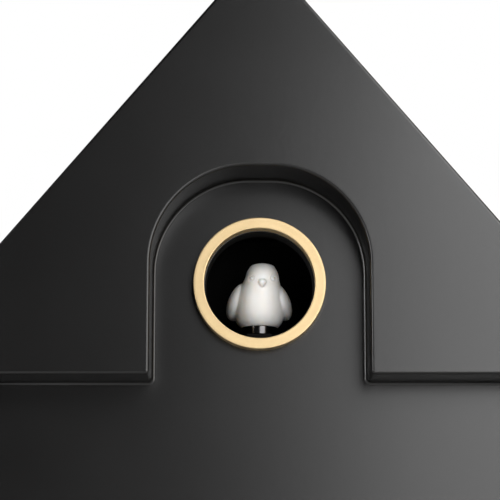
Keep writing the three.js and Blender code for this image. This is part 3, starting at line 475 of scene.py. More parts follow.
def egg(centre, radii, lean=(0, 0), squeeze=0.0, rows=40, steps=56):
    """A closed egg in mm: latitude and longitude on an ellipsoid, its width squeezed towards the
    top by a share of its height, and sheared in x and y by lean times the height."""
    lat = np.linspace(0, math.pi, rows)[:, None]
    lon = np.linspace(0, 2 * math.pi, steps, endpoint=False)[None]
    up = np.cos(lat) + 0 * lon
    wide = 1 - squeeze * up
    x = radii[0] * wide * np.sin(lat) * np.cos(lon) + lean[0] * up * radii[2]
    y = radii[1] * wide * np.sin(lat) * np.sin(lon) + lean[1] * up * radii[2]
    return grid(np.stack([x, y, radii[2] * up], -1) + np.asarray(centre))


drum_low, drum_high = extent("bird_pedestal")
foot = extent("bird_figure")[0].z
BIRD_HEIGHT = 31.0
HEAD_SHIFT = 1.45
EYE_APART, EYE_HEIGHT = 5.3, 22.6
height = np.concatenate([
    np.linspace(0, 1.2, 7), np.linspace(1.8, BIRD_HEIGHT - 1.5, 60),
    BIRD_HEIGHT - 1.5 * (1 - np.sin(np.linspace(0.1, math.pi / 2, 10))),
])
wide = through(height, [0, 1.5, 4, 8, 12, 16, 20.5, 23, 25.5, 28, 30, 31],
               [8.9, 10.3, 11.6, 12.2, 11.9, 11.0, 9.2, 8.3, 7.7, 6.5, 4.3, 0])
deep = through(height, [0, 1.5, 4, 8, 12, 16, 20, 24, 27, 29, 30.3, 31],
               [8.9, 10.4, 12.0, 13.0, 12.6, 11.0, 9.2, 8.4, 7.2, 5.6, 3.6, 0])
middle = through(height, [0, 4, 10, 16, 21, 26, 31], [0.4, 0.9, 0.8, -0.6, -2.2, -2.9, -3.0])
shift = HEAD_SHIFT * np.clip((height - 14) / 10, 0, 1)
lon = np.linspace(0, 2 * math.pi, 96, endpoint=False)[None]
torso = np.stack([
    shift[:, None] + wide[:, None] * np.cos(lon),
    middle[:, None] + deep[:, None] * np.sin(lon),
    foot + height[:, None] + 0 * lon,
], -1)
wings = [
    egg((side * 10.2, 2.4, foot + 12.7), (5.0, 8.8, 8.8), (-side * 0.26, -0.2), 0.1)
    for side in (-1, 1)
]
beak = egg((HEAD_SHIFT, -10.9, foot + 20.0), (1.9, 2.7, 2.1), (0, 0.3), -0.4, 24, 32)
tail = egg((0, 13.2, foot + 7.4), (4.6, 6.2, 2.6), (0, 0.5), 0, 24, 40)
resin = finish(
    "satin_white_resin", {"IOR": 1.5, "Subsurface Weight": 0.7, "Subsurface Radius": (1, 0.85, 0.7),
                          "Subsurface Scale": 4 * MM},
    base=lambda w: w.noise(0.25, 3).mixed((0.80, 0.787, 0.77, 1), (0.84, 0.83, 0.815, 1)),
    rough=lambda w: 0.40 + 0.08 * w.noise(0.5, 3) + 0.04 * w.noise(4, 2),
    height=lambda w: w.noise(0.7, 3) + 0.3 * w.noise(5, 2), depth=0.012,
)
bird = piece("moulded_bird", [grid(torso, ends=(True, False)), *wings, beak, tail],
             resin, "bird", "bird_figure")
# The parts are fused into one skin and its creases are softened, as a mould gives them.
fuse = bird.modifiers.new("fuse", "REMESH")
fuse.mode, fuse.voxel_size, fuse.use_smooth_shade = "VOXEL", 0.22 * MM, True
soften = bird.modifiers.new("soften", "SMOOTH")
soften.factor, soften.iterations = 0.5, 20
fused = bpy.data.meshes.new_from_object(bird.evaluated_get(bpy.context.evaluated_depsgraph_get()))
bird.modifiers.clear()
bird.data = fused
fused.name = "moulded_bird"
count = len(fused.vertices)
skin = np.empty(count * 3, np.float32)
normal = np.empty(count * 3, np.float32)
fused.vertices.foreach_get("co", skin)
fused.vertices.foreach_get("normal", normal)
skin, normal = skin.reshape(-1, 3) / MM, normal.reshape(-1, 3)
# Each eye is a raised dot in a shallow ring-shaped groove with a soft rim round it.
raised = np.zeros(count)
for side in (-1, 1):
    away = np.hypot(skin[:, 0] - HEAD_SHIFT - side * EYE_APART, skin[:, 2] - foot - EYE_HEIGHT)
    front_half = skin[:, 1] < -2
    raised += front_half * (
        0.32 * np.exp(-((away / 0.62) ** 2)) - 0.20 * np.exp(-(((away - 1.05) / 0.34) ** 2))
        + 0.14 * np.exp(-(((away - 1.75) / 0.42) ** 2))
    )
skin = skin + normal * raised[:, None]
skin[:, 2] = np.maximum(skin[:, 2], foot)
fused.vertices.foreach_set("co", (skin * MM).ravel())
fused.update()
fused.shade_smooth()

drum_black = turned_metal("black_anodised_drum", (0.11, 0.108, 0.11, 1), (0.07, 0.068, 0.07, 1),
                          (0, 0, drum_low.z * MM), rough=0.15, depth=0.002)
drum_top = drum_high.z + 0.08
drum_profile = eased([(0.0, drum_low.z), (drum_high.x, drum_low.z), (drum_high.x, drum_top), (0.0, drum_top)],
                     [0.25, 0.35])
piece("bird_drum", [lathe(drum_profile, 0, 0, 96, ALONG_Z)],
      drum_black, "bird", "bird_pedestal")

# ---- side, roof and bottom boards
# The other boards of the case, of the same fibreboard and lacquer. They are glued behind the front
# with a hairline joint, and their outer edges are broken before spraying.

BOARD = 12
GLUE_LINE = 0.2
plumb = BOARD / math.cos(ROOF_PITCH)
slope = math.tan(ROOF_PITCH)
case_front, case_back = [corner.y for corner in extent("left_side_wall")]
case_foot = front_low.z


def roof_inside(x):
    """Height of the roof boards' inner face at a distance from the middle."""
    return apex_z - abs(x) * slope - plumb


def mirrored(corners):
    """Corners of the right board mirrored for the left one, still counterclockwise."""
    return [(-x, z) for x, z in corners][::-1]


inner_x = half_width - BOARD
wall = [
    (inner_x, case_foot), (half_width, case_foot), (half_width, roof_inside(half_width) - GLUE_LINE),
    (inner_x, roof_inside(inner_x) - GLUE_LINE),
]
ridge = GLUE_LINE / 2
roof = [
    (half_width, roof_inside(half_width)), (half_width, eaves_z), (ridge, apex_z - ridge * slope),
    (ridge, apex_z - ridge * slope - plumb),
]
floor_x, floor_z = inner_x - GLUE_LINE, case_foot + BOARD
bottom = [(-floor_x, case_foot), (floor_x, case_foot), (floor_x, floor_z), (-floor_x, floor_z)]
for name, outline, node in (
    ("left_wall", mirrored(wall), "left_side_wall"), ("left_roof", mirrored(roof), "left_roof_board"),
    ("right_wall", wall, "right_side_wall"), ("right_roof", roof, "right_roof_board"),
    ("bottom_of_case", bottom, "bottom_board"),
):
    deep = board(rounded(outline, 0.6), case_front, case_back, front=0.3, back=0.45, hold=0.1)
    piece(name, [deep], lacquer, "case", node)

# ---- feet
# Four pressed rubber pads, stuck on under the case. On each a rounded lip runs round a shallow
# hollow, which grips the shelf.

rubber = finish(
    "black_rubber", {"IOR": 1.45, "Specular IOR Level": 0.35},
    base=lambda w: w.noise(0.6, 4).mixed((0.014, 0.014, 0.015, 1), (0.032, 0.031, 0.031, 1)),
    rough=lambda w: 0.72 + 0.16 * w.noise(1.2, 3), height=lambda w: w.noise(4, 3), depth=0.03,
)
for place in ("front_left", "front_right", "rear_left", "rear_right"):
    low, high = extent(f"foot_{place}")
    radius = (high.x - low.x) / 2
    pad = eased([(0.0, 0.45), (radius - 2.4, 0.45), (radius - 1.8, 0.0), (radius - 0.5, 0.0), (radius, 0.6),
                 (radius, high.z), (0.0, high.z)], [0.3, 0.3, 0.3, 0.3, 0.1], hold=0.05)
    piece(f"rubber_pad_{place}", [lathe(pad, (low.x + high.x) / 2, (low.y + high.y) / 2, 56, ALONG_Z)],
          rubber, "case", f"foot_{place}")

# ---- back panel and battens
# Thin fibreboard, cut by a router and sprayed matt black, so that its fibres show through. It has
# windows for the movement and the battery box, slots over the speaker, and sits in the case's edge.

painted_board = finish(
    "black_painted_fibreboard", {"IOR": 1.45, "Specular IOR Level": 0.4},
    base=lambda w: (0.5 * w.noise(0.05, 4) + 0.5 * w.noise(1.6, 3)).mixed(
        (0.006, 0.006, 0.006, 1), (0.020, 0.019, 0.018, 1)),
    rough=lambda w: 0.55 + 0.2 * w.noise(0.8, 4),
    height=lambda w: 0.6 * w.noise(1.4, 4) + 0.4 * w.noise(0.5, 2, w.place(scale=(1, 1, 0.25))), depth=0.07,
)
raw_board = finish(
    "raw_fibreboard", {"IOR": 1.4, "Specular IOR Level": 0.25},
    base=lambda w: (0.6 * w.noise(1.3, 5) + 0.4 * w.noise(0.15, 3)).mixed(
        (0.22, 0.135, 0.065, 1), (0.36, 0.245, 0.13, 1)),
    rough=lambda w: 0.8 + 0.12 * w.noise(1, 3), height=lambda w: w.noise(1.8, 5), depth=0.1,
)


def slab(x0, x1, z0, z1, radius=1.0, steps=6):
    """A rectangle with rounded corners, counterclockwise from the front."""
    straight = min(x1 - x0, z1 - z0) - 2 * radius
    return rounded([(x0, z0), (x1, z0), (x1, z1), (x0, z1)], radius, steps, min(0.2, 0.25 * straight))


panel_low, panel_high = extent("back_panel")
box_low, box_high = extent("battery_box")
slide_low, slide_high = extent("volume_slider")
button_low, button_high = extent("demo_button")
speaker_low, speaker_high = extent("speaker_basket")
control_z = (slide_low.z + slide_high.z) / 2
slide_x, button_x = (slide_low.x + slide_high.x) / 2, (button_low.x + button_high.x) / 2
speaker_x, speaker_z = (speaker_low.x + speaker_high.x) / 2, (speaker_low.z + speaker_high.z) / 2
plate_low, plate_high = extent("keyhole_hanger")
hanger_z = (plate_low.z + plate_high.z) / 2
edge = panel_high.x
gable = rounded([(-edge, panel_low.z), (edge, panel_low.z), (edge, roof_inside(edge) - 0.5),
                 (0, panel_high.z), (-edge, roof_inside(edge) - 0.5)], 1.0)
screw_places = []
for number in (1, 2, 3, 4):
    low, high = extent(f"back_screw_{number}")
    screw_places.append(((low.x + high.x) / 2, (low.z + high.z) / 2))
GAP = 0.3
windows = [
    slab(-38, 38, dial_z - 43, dial_z + 33, 6),
    slab(box_low.x - GAP, box_high.x + GAP, box_low.z - GAP, box_high.z + GAP, 0.6),
    slab(-9, 9, hanger_z - 12, hanger_z + 14, 8.7),
    slab(slide_x - 8, slide_x + 8, control_z - 2.8, control_z + 2.8, 2.4),
    circle(button_x, control_z, 4, 40),
]
# Seven slots, as long as a circle over the speaker lets each be.
SLOTTED_RADIUS, SLOT_PITCH = 20, 5
for offset in range(-3 * SLOT_PITCH, 3 * SLOT_PITCH + 1, SLOT_PITCH):
    reach = math.sqrt(SLOTTED_RADIUS ** 2 - offset ** 2)
    z = speaker_z + offset
    windows.append(slab(speaker_x - reach, speaker_x + reach, z - 1.2, z + 1.2, 0.9, 4))
windows += [circle(x, z, 2, 24) for x, z in screw_places]
piece("painted_back", [board(gable, panel_low.y, panel_high.y, [w[::-1] for w in windows], 0.15, 0.3, 3)],
      painted_board, "case", "back_panel")

# ---- screws and keyhole plate
# Pan-head zinc screws with a cross recess hold the back. A stamped steel plate with a keyhole,
# held by two rivets, takes the wall screw's head.

zinc = finish(
    "zinc_plated_steel", {"Metallic": 1.0},
    base=lambda w: (0.6 * w.noise(0.3, 4) + 0.4 * w.noise(2.2, 3)).mixed(
        (0.46, 0.47, 0.48, 1), (0.66, 0.66, 0.65, 1)),
    rough=lambda w: 0.27 + 0.16 * w.noise(1.1, 4), height=lambda w: w.noise(3, 3), depth=0.01,
)


def pan_head(x, z, y_seat, y_top, radius, shank, tip, turn, rows=22, steps=72):
    """A screw in mm along Y: a shank from its tip to the seat, then a dome whose height falls with
    the square of the radius, with two crossed tapering slots pressed into it."""
    angles = np.linspace(0, 2 * math.pi, steps, endpoint=False)[None]
    r = radius * (1 - np.linspace(0, 1, rows)[:, None]) * np.ones((1, steps))
    r[-1] = radius * 0.02
    y = y_top - (y_top - y_seat) * 0.55 * (r / radius) ** 3
    u, v = r * np.cos(angles - turn), r * np.sin(angles - turn)
    slot = np.maximum(*(
        np.clip((0.42 - np.abs(a)) / 0.16, 0, 1) * np.clip((1.75 - np.abs(b)) / 0.5, 0, 1)
        for a, b in ((u, v), (v, u))
    ))
    y = y - slot * (y_top - y_seat) * 0.75
    below = [(0.05, tip), (shank, tip + 2), (shank, y_seat), (radius - 0.15, y_seat),
             (radius, y_seat + 0.15)]
    lower = np.array(below)[:, None, :] * np.ones((1, steps, 1))
    r = np.concatenate([lower[..., 0], r])
    y = np.concatenate([lower[..., 1], y])
    points = np.stack([x + r * np.cos(angles), y, z + r * np.sin(angles)], -1)
    return grid(points, ends=(True, True))


for number, (x, z) in enumerate(screw_places, 1):
    low, high = extent(f"back_screw_{number}")
    piece(f"cross_screw_{number}", [pan_head(x, z, high.y - 2, high.y, 3.4, 1.7, low.y, 0.7 * number)],
          zinc, "case", f"back_screw_{number}")

neck = math.asin(2.4 / 5)
bulb = math.pi / 2 + neck + np.linspace(0, 2 * math.pi - 2 * neck, 41)
crown = np.linspace(0, math.pi, 15)
keyhole = np.vstack([
    np.stack([5 * np.cos(bulb), hanger_z - 4 + 5 * np.sin(bulb)], -1),
    np.stack([2.4 * np.cos(crown), hanger_z + 7 + 2.4 * np.sin(crown)], -1),
])
rivets = [
    lathe(eased([(0.0, plate_high.y - 0.4), (2.3, plate_high.y - 0.4), (2.1, plate_high.y + 0.45),
                 (0.0, plate_high.y + 0.75)], [0.1, 0.35], hold=0.05), x, hanger_z, 40)
    for x in (-16, 16)
]
piece("keyhole_plate", [
    board(slab(plate_low.x, plate_high.x, plate_low.z, plate_high.z, 4), plate_low.y, plate_high.y,
          [keyhole[::-1]], 0.15, 0.3, 3), *rivets,
], zinc, "case", "keyhole_hanger")

# ---- dial
# A ring photo-etched from thin brass, with a baton inwards at each hour and a short tick at each
# minute, stuck on the lacquered front.

dial_brass = finish(
    "brushed_brass", {"Metallic": 1.0},
    base=lambda w: (0.5 * w.noise(0.06, 4) + 0.5 * w.noise(1, 2, w.place(scale=(0.06, 1, 3)))).mixed(
        (0.64, 0.47, 0.235, 1), (0.78, 0.60, 0.34, 1)),
    rough=lambda w: 0.24 + 0.16 * w.noise(1.6, 3, w.place(scale=(0.05, 1, 2.5))),
    height=lambda w: w.noise(3, 3, w.place(scale=(0.04, 1, 2))), depth=0.012,
)
ring_low, ring_high = extent("chapter_ring")
dial_radius = ring_high.x
inside = dial_radius - 2.5
tick = np.arange(60)
half = np.select([tick % 15 == 0, tick % 5 == 0], [1.8, 1.1], 0.3)[:, None]
length = np.select([tick % 15 == 0, tick % 5 == 0], [14.0, 9.0], 1.8)[:, None]
angle = (tick * math.pi / 30)[:, None]
root = np.sqrt(inside ** 2 - half ** 2)
gap_start, gap_end = np.arcsin(half / inside), math.pi / 30 - np.arcsin(np.roll(half, -1, 0) / inside)
between = gap_start + (gap_end - gap_start) * np.array([[0.25, 0.5, 0.75]])
along = np.hstack([root, inside - length, inside - length, root, inside * np.cos(between)])
across = np.hstack([-half, -half, half, half, inside * np.sin(between)])
batons = np.stack([
    along * np.cos(angle) - across * np.sin(angle), dial_z + along * np.sin(angle) + across * np.cos(angle),
], -1).reshape(-1, 2)
piece("etched_chapter_ring", [board(circle(0, dial_z, dial_radius, 240), ring_low.y, ring_high.y,
                                    [batons[::-1]], 0.08, 0.05, 2, 0.05)],
      dial_brass, "case", "chapter_ring")

# ---- hands, nut and cap
# Two stamped brass hands with crowned faces, pushed on the pipe and the arbor. A hexagon nut holds
# the movement to the front, and a turned cap closes the minute hand's hub.

def hand_outline(length, turn, half_width, hub, steps=14):
    """A straight hand about the dial's centre, turned clockwise from twelve: a rounded tip, a round
    hub, a short tail and the hub's other side."""
    spread, tip = math.asin(half_width / hub), half_width * 0.55
    turns = [
        (0, length - tip, tip, 0, math.pi), (0, 0, hub, math.pi / 2 + spread, math.pi * 1.5 - spread),
        (0, -length * 0.2, half_width, math.pi, 2 * math.pi),
        (0, 0, hub, -math.pi / 2 + spread, math.pi / 2 - spread),
    ]
    line = np.vstack([
        np.stack([x + r * np.cos(a), z + r * np.sin(a)], -1)
        for x, z, r, a in ((x, z, r, np.linspace(a0, a1, steps)) for x, z, r, a0, a1 in turns)
    ])
    c, s = math.cos(turn), math.sin(turn)
    return np.stack([line[:, 0] * c + line[:, 1] * s, dial_z - line[:, 0] * s + line[:, 1] * c], -1)


for name, length, degrees, half_wide, hub, bore, train in (
    ("minute_hand", 70, 60, 2.0, 5.0, 1.65, "minute_train"),
    ("hour_hand", 49, 305, 2.6, 6.0, 3.05, "hour_train"),
):
    low, high = extent(name)
    outline = hand_outline(length, math.radians(degrees), half_wide, hub)
    hand = board(outline, low.y, high.y, [circle(0, dial_z, bore, 40)[::-1]], 0.35, 0.1, 4, 0.12)
    piece(f"crowned_{name}", [hand], dial_brass, train, name)

works_brass = turned_metal("turned_brass", (0.76, 0.58, 0.31, 1), (0.62, 0.45, 0.21, 1),
                           (0, 0, dial_z * MM), rough=0.3, marks=7, depth=0.006)
nut_low, nut_high = extent("fixing_nut")
piece("hexagon_nut", [board(rounded(circle(0, dial_z, nut_high.x, 6), 0.7, 4, 0.2), nut_low.y, nut_high.y,
                            [circle(0, dial_z, 4.8, 48)[::-1]], 0.5, 0.2, 4, 0.05)],
      works_brass, "case", "fixing_nut")
cap_low, cap_high = extent("hand_cap")
cap = eased([(0.0, cap_high.y), (3.6, cap_high.y), (3.6, cap_high.y - 1.4), (2.4, cap_high.y - 2.4),
             (0.0, cap_low.y)], [0.1, 0.4, 0.8], hold=0.08)
piece("turned_hand_cap", [lathe(cap, 0, dial_z, 64)], works_brass, "minute_train", "hand_cap")

# ---- bird's mechanism
# Inside the moulded black hood a carriage on two ground steel rods carries the bird. A brass
# pinion, a geared motor and a light barrier stand on the moulded base.

black_plastic = finish(
    "black_moulded_plastic", {"IOR": 1.49},
    base=lambda w: w.noise(0.08, 3).mixed((0.0075, 0.0075, 0.008, 1), (0.015, 0.0148, 0.0152, 1)),
    rough=lambda w: 0.42 + 0.14 * w.noise(0.3, 3) + 0.05 * w.noise(5, 2),
    height=lambda w: w.noise(6, 2) + 0.3 * w.noise(0.6, 2), depth=0.012,
)
grey_plastic = finish(
    "grey_moulded_plastic", {"IOR": 1.49},
    base=lambda w: w.noise(0.1, 3).mixed((0.036, 0.037, 0.040, 1), (0.055, 0.056, 0.060, 1)),
    rough=lambda w: 0.40 + 0.14 * w.noise(0.4, 3), height=lambda w: w.noise(5, 2), depth=0.012,
)
white_plastic = finish(
    "white_moulded_plastic", {"IOR": 1.48, "Subsurface Weight": 0.1, "Subsurface Scale": 1 * MM},
    base=lambda w: w.noise(0.2, 3).mixed((0.74, 0.72, 0.67, 1), (0.82, 0.805, 0.76, 1)),
    rough=lambda w: 0.34 + 0.14 * w.noise(0.6, 3), height=lambda w: w.noise(3, 2), depth=0.01,
)
rod_steel = finish(
    "ground_steel", {"Metallic": 1.0},
    base=lambda w: w.noise(0.5, 4).mixed((0.54, 0.55, 0.56, 1), (0.68, 0.68, 0.68, 1)),
    rough=lambda w: 0.16 + 0.12 * w.noise(1, 3, w.place(scale=(2, 0.3, 2))),
    height=lambda w: w.noise(2, 2, w.place(scale=(3, 0.3, 3))), depth=0.004,
)


def ground_rod(name, node, axis, body):
    """A rod along X (0) or Y (1) in the box of a CAD node, its ends chamfered and finely domed."""
    low, high = extent(node)
    radius = (high.z - low.z) / 2
    across = (low[1 - axis] + high[1 - axis]) / 2
    start, end = low[axis], high[axis]
    line = eased([(0.0, start), (radius - 0.3, start + 0.06), (radius, start + 0.36),
                  (radius, end - 0.36), (radius - 0.3, end - 0.06), (0.0, end)],
                 [0.08, 0.1, 0.1, 0.08], hold=0.04)
    rod = lathe(line, across, (low.z + high.z) / 2, 40, (0, 1, 2) if axis else ALONG_X)
    piece(name, [rod], rod_steel, body, node)


ground_rod("rod_left", "guide_rod_left", 1, "case")
ground_rod("rod_right", "guide_rod_right", 1, "case")
ground_rod("pinion_rod", "pinion_shaft", 0, "pinion")
ground_rod("arbor", "minute_arbor", 1, "minute_train")

# The motor: a drawn steel can with a rolled front edge and a bearing boss at its end.
can_low, can_high = extent("motor_can")
can_y, can_z = (can_low.y + can_high.y) / 2, (can_low.z + can_high.z) / 2
can = eased([(0.0, can_low.x), (6.0, can_low.x), (6.0, can_high.x - 1.4), (2.6, can_high.x - 1.4),
             (2.4, can_high.x), (0.0, can_high.x)], [0.3, 0.8, 0.2, 0.3], hold=0.08)
piece("drawn_motor_can", [lathe(can, can_y, can_z, 64, ALONG_X)], zinc, "case", "motor_can")

# ---- quartz movement
# A bought-in movement: a black tray and cover, moulded wheels on steel pins, a coil of enamelled
# wire on its bobbin, and a knurled knob behind for setting the hands.

WIRE_PITCH = 0.35
copper = finish(
    "enamelled_copper_wire", {"Metallic": 0.9, "IOR": 1.5},
    base=lambda w: w.noise(5, 2, w.place(scale=(1, 0.05, 0.05))).mixed(
        (0.30, 0.095, 0.035, 1), (0.62, 0.25, 0.11, 1)),
    rough=lambda w: 0.28 + 0.12 * w.noise(1, 3),
    height=lambda w: w.math("SINE", w.along(0) * (2 * math.pi / (WIRE_PITCH * MM))),
    depth=0.06,
)
cover_low, cover_high = extent("movement_cover")
ribs = [slab(-22, -20, 118, 130, 0.5, 3), slab(20, 22, 118, 130, 0.5, 3)]
piece("cover_of_movement", [
    board(slab(cover_low.x, cover_high.x, cover_low.z, cover_high.z, 1.5), cover_low.y, cover_high.y,
          [circle(0, dial_z, 2.6, 40)[::-1]], 0.15, 0.4, 4),
    *[board(rib, cover_high.y - 0.3, cover_high.y + 0.5, (), 0.1, 0.25, 3, 0.1) for rib in ribs],
    lathe(eased([(9.6, cover_high.y - 0.3), (11.2, cover_high.y - 0.3), (11.2, cover_high.y + 0.5),
                 (9.6, cover_high.y + 0.5)], [0.2] * 4, hold=0.05), 0, dial_z, 72),
], black_plastic, "case", "movement_cover")

knob_low, knob_high = extent("setting_knob")
around = np.linspace(0, 2 * math.pi, 288, endpoint=False)
knurl = 7.75 + 0.25 * np.cos(36 * around)
knob_rim = np.stack([knurl * np.cos(around), dial_z + knurl * np.sin(around)], -1)
piece("knurled_knob", [
    board(knob_rim, knob_low.y, knob_high.y, [circle(0, dial_z, 5.6, 72)[::-1]], 0.14, 0.14, 2, 0.03),
    lathe(eased([(1.6, knob_low.y + 0.2), (5.8, knob_low.y + 0.2), (5.8, knob_high.y - 0.9),
                 (0.0, knob_high.y - 0.6), (0.0, knob_low.y + 3.1), (1.6, knob_low.y + 3.1)],
                [0.1, 0.1, 0.3, 0.1], hold=0.06), 0, dial_z, 72),
], grey_plastic, "minute_train", "setting_knob")

# ---- cells
# Standard round cells: a steel can in a printed plastic sleeve that is shrunk over both shoulders,
# with a pressed positive cap at one end and a flat negative end.

def printed_sleeve(name, split):
    """Glossy print, dark blue up to a place along X in mm and copper-coloured beyond, under a
    clear film."""
    return finish(
        name, {"IOR": 1.5, "Coat Roughness": 0.08},
        base=lambda w: w.along(0).clipped((split - 0.1) * MM, (split + 0.1) * MM).mixed(
            w.noise(0.6, 3).mixed((0.022, 0.050, 0.10, 1), (0.032, 0.068, 0.13, 1)),
            w.noise(0.6, 3).mixed((0.42, 0.18, 0.075, 1), (0.52, 0.24, 0.11, 1))),
        rough=lambda w: 0.26 + 0.1 * w.noise(0.5, 3), height=lambda w: w.noise(2, 3), depth=0.01,
        coat=lambda w: 0.5 + 0.3 * w.noise(0.4, 2),
    )


COPPER_COLOURED = 14


def round_cell(number, node):
    """A cell along X in its CAD node's box: the sleeve, and the can whose ends show past it."""
    low, high = extent(node)
    y, z, radius = (low.y + high.y) / 2, (low.z + high.z) / 2, (high.z - low.z) / 2
    x0, x1 = low.x, high.x
    lip, lining, steel = radius - 0.9, radius - 0.3, radius - 0.35
    skin = eased([(lip, x0 + 0.15), (radius, x0 + 0.15), (radius, x1 - 1.95), (lip, x1 - 1.95),
                  (lip, x1 - 2.25), (lining, x1 - 2.4), (lining, x0 + 0.6), (lip, x0 + 0.45)],
                 [0.1, 0.4, 0.5, 0.1, 0.05, 0.1, 0.1, 0.05], hold=0.04)
    can = eased([(0.0, x0 + 0.1), (4.2, x0 + 0.1), (4.6, x0 + 0.35), (steel, x0 + 0.35), (steel, x1 - 2.1),
                 (4.4, x1 - 1.9), (4.0, x1 - 1.5), (2.7, x1 - 1.5), (2.7, x1), (0.0, x1)],
                [0.1, 0.1, 0.1, 0.3, 0.1, 0.1, 0.1, 0.5], hold=0.05)
    piece(f"cell_sleeve_{number}", [lathe(skin, y, z, 72, ALONG_X)],
          printed_sleeve(f"printed_sleeve_{number}", x1 - COPPER_COLOURED), "case", node)
    piece(f"cell_can_{number}", [lathe(can, y, z, 72, ALONG_X)], zinc, "case")


for number, node in enumerate(("battery_cell_1", "battery_cell_2", "movement_cell"), 1):
    round_cell(number, node)

# ---- battery contacts and cover
# Coiled spring contacts press the cells' flat ends, and bent leaves meet their caps. A moulded
# door with finger ridges turns on two pins and snaps shut with a tongue.

def wire_along(path, radius, sides=10):
    """A closed wire in mm: a circle carried along a path, square to it, its ends closed. The
    circle's first axis is square to the path and to X."""
    ahead = np.gradient(path, axis=0)
    ahead /= np.linalg.norm(ahead, axis=1)[:, None]
    first = np.cross(ahead, (1.0, 0.0, 0.0))
    first /= np.linalg.norm(first, axis=1)[:, None]
    second = np.cross(ahead, first)
    angle = np.linspace(0, 2 * math.pi, sides, endpoint=False)[None, :, None]
    points = path[:, None] + radius * (np.cos(angle) * first[:, None] + np.sin(angle) * second[:, None])
    return grid(points, ends=(True, True))


WALL = 1.6
SPRING_TURNS, SPRING_WIRE = 4.25, 0.35
springs, leaves = [], []
for node in ("battery_cell_1", "battery_cell_2"):
    low, high = extent(node)
    y, z = (low.y + high.y) / 2, (low.z + high.z) / 2
    t = np.linspace(0, 1, 220)
    reach = 4.6 - 2.0 * t
    angle = t * 2 * math.pi * SPRING_TURNS
    start = box_low.x + WALL + 0.5
    springs.append(wire_along(np.stack([
        start + (low.x - start - SPRING_WIRE) * t, y + reach * np.cos(angle), z + reach * np.sin(angle),
    ], -1), SPRING_WIRE))
    across = np.linspace(-6, 6, 41)
    bend = box_high.x - WALL - 0.45 - (box_high.x - WALL - 0.6 - high.x) * np.exp(-((across / 2.8) ** 2))
    strip = np.vstack([np.stack([bend, z + across], -1), np.stack([bend + 0.3, z + across], -1)[::-1]])
    leaves.append(board(strip[::-1], y - 3.2, y + 3.2, (), 0.05, 0.05, 1, 0.03))
piece("spring_contacts", springs, zinc, "case")
piece("leaf_contacts", leaves, zinc, "case")

door_low, door_high = extent("battery_cover")
outer_y = panel_high.y
hinge_z = box_low.z + 1.2
pin = eased([(0.0, 0.0), (0.6, 0.0), (0.6, 3.0), (0.0, 3.0)], [0.15, 0.05], hold=0.03)
pins = [
    lathe(pin * [1, way] + [0, x], outer_y - 0.8, hinge_z, 24, ALONG_X)
    for x, way in ((door_low.x, 1), (door_high.x, -1))
]
middle_x = (door_low.x + door_high.x) / 2
leaf = slab(box_low.x + 0.6, box_high.x - 0.6, door_low.z, door_high.z, 0.6)
tongue = slab(middle_x - 6, middle_x + 6, door_high.z - 2.7, door_high.z - 1.6, 0.3, 3)
ridges = [
    board(slab(middle_x - 8, middle_x + 8, z - 0.45, z + 0.45, 0.38, 4), outer_y - 0.4, door_high.y,
          (), 0.05, 0.3, 3, 0.05)
    for z in (door_high.z - 6.2, door_high.z - 4.6, door_high.z - 3.0)
]
piece("battery_door", [
    board(leaf, outer_y - WALL, outer_y, (), 0.2, 0.3, 4, 0.15),
    board(tongue, door_low.y, outer_y - 1, (), 0.2, 0.1, 3, 0.08), *ridges, *pins,
], black_plastic, "battery_cover", "battery_cover")

# ---- speaker
# A small full-range speaker behind the slots: a pressed steel basket, a ferrite magnet behind it,
# and a rippled paper cone with a rolled edge and a domed cap.

paper = finish(
    "black_speaker_paper", {"IOR": 1.4, "Specular IOR Level": 0.3},
    base=lambda w: w.noise(1.5, 5).mixed((0.012, 0.012, 0.013, 1), (0.030, 0.030, 0.031, 1)),
    rough=lambda w: 0.75 + 0.15 * w.noise(2, 3), height=lambda w: w.noise(3, 5), depth=0.06,
)
ferrite = finish(
    "sintered_ferrite", {"IOR": 1.6, "Specular IOR Level": 0.4},
    base=lambda w: w.noise(0.9, 4).mixed((0.028, 0.028, 0.030, 1), (0.052, 0.052, 0.054, 1)),
    rough=lambda w: 0.5 + 0.2 * w.noise(1.5, 4), height=lambda w: w.noise(3, 4), depth=0.05,
)
rim_y = speaker_high.y
radius = (speaker_high.x - speaker_low.x) / 2
basket = eased([(radius, rim_y), (radius - 3, rim_y), (13.6, rim_y - 10), (6, rim_y - 10),
                (6, rim_y - 11.4), (14.4, rim_y - 11.4), (radius - 1.8, rim_y - 1.4), (radius, rim_y - 1.4)],
               [0.3, 0.8, 1.2, 0.2, 0.2, 1.6, 0.8, 0.3])
piece("speaker_pressing", [lathe(basket, speaker_x, speaker_z, 96)], zinc, "case", "speaker_basket")
magnet_low, magnet_high = extent("speaker_magnet")
ferrite_ring = eased([(0.0, magnet_low.y), (12.5, magnet_low.y), (12.5, magnet_high.y), (0.0, magnet_high.y)],
                     [0.8, 0.5])
piece("speaker_ferrite", [lathe(ferrite_ring, speaker_x, speaker_z, 72)],
      ferrite, "case", "speaker_magnet")
r = np.linspace(0, 19.7, 110)
cone_line = np.select(
    [r < 6.4, r < 16.8],
    [rim_y - 6.2 - 1.9 * (r / 6.4) ** 2,
     rim_y - 8.2 + 6.3 * (r - 6.4) / 10.4 + 0.1 * np.sin((r - 6.4) * 2 * math.pi / 1.3)],
    rim_y - 1.9 + 0.9 * np.sin(np.clip((r - 16.8) / 2.9, 0, 1) * math.pi))
cone = np.vstack([np.stack([r, cone_line], -1), np.stack([r, cone_line - 0.4], -1)[::-1]])
piece("paper_cone", [lathe(cone, speaker_x, speaker_z, 96)], paper, "case", "speaker_cone")

# ---- controls
# A ridged slider for the volume and a domed button that plays the call, both moulded in white
# plastic. They stand on the control board and reach out through the back.

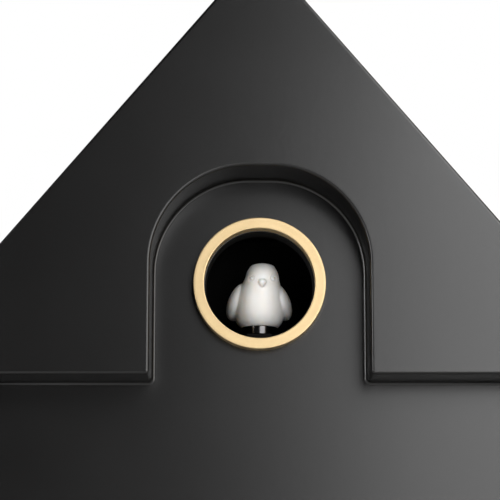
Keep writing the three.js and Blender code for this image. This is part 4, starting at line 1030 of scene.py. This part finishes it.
stem = slab(slide_x - 2, slide_x + 2, control_z - 1.8, control_z + 1.8, 0.25, 3)
tab = slab(slide_low.x, slide_high.x, control_z - 2.4, control_z + 2.4, 0.8)
piece("ridged_slider", [
    board(stem, slide_low.y, outer_y + 0.6, (), 0.1, 0.1, 2, 0.1),
    board(tab, outer_y + 0.1, slide_high.y - 0.5, (), 0.1, 0.3, 4, 0.1),
    *[board(slab(slide_x + x - 0.3, slide_x + x + 0.3, control_z - 2.1, control_z + 2.1, 0.24, 3),
            slide_high.y - 0.9, slide_high.y, (), 0.05, 0.16, 3, 0.04) for x in (-1.6, 0, 1.6)],
], white_plastic, "volume_slider", "volume_slider")
button = eased([(0.0, button_low.y), (3, button_low.y), (3, panel_low.y - 2), (3.6, panel_low.y - 2),
                (3.6, button_high.y - 0.5), (2.6, button_high.y), (0.0, button_high.y - 0.35)],
               [0.2, 0.1, 0.2, 0.5, 0.5], hold=0.06)
piece("domed_button", [lathe(button, button_x, control_z, 64)],
      white_plastic, "demo_button", "demo_button")

# ---- the CAD's own parts
# Battens, wheels, the hood, the coil and other parts inside, whose CAD shape is right, keep it and
# take the finish of their material. The hood and the bird's carriage take the dull black: painted shade,
# darker than their plastic.

laminate = finish(
    "circuit_laminate", {"IOR": 1.5},
    base=lambda w: w.along(1).clipped(0.0347, 0.0349).mixed(
        w.noise(0.5, 2, w.place(scale=(1, 1, 3))).clipped(0.52, 0.55).mixed(
            (0.010, 0.060, 0.026, 1), (0.022, 0.11, 0.05, 1)),
        w.noise(0.4, 2).mixed((0.02, 0.02, 0.021, 1), (0.05, 0.05, 0.052, 1))),
    rough=lambda w: 0.30 + 0.2 * w.noise(0.8, 3), height=lambda w: w.noise(1.5, 4), depth=0.03,
)
finishes = {
    "black_lacquer": lacquer, "black_paint": painted_board, "brass": works_brass, "white_resin": resin,
    "black_plastic": black_plastic, "grey_plastic": grey_plastic, "white_plastic": white_plastic,
    "steel": zinc, "copper_wire": copper, "rubber": rubber, "fibreboard": raw_board,
    "circuit_board": laminate, "paper_cone": paper, "cell_jacket": zinc,
}
for node in nodes.values():
    for slot in node.material_slots:
        slot.material = finishes[slot.material.name.split(".")[0]]
# Painted shade: the hood and carriage get a black darker than their plastic, so they stay as dark as the
# shadow under the bird.
for name in ("bird_carriage", "bird_hood"):
    nodes[name].material_slots[0].material = painted_shade_black
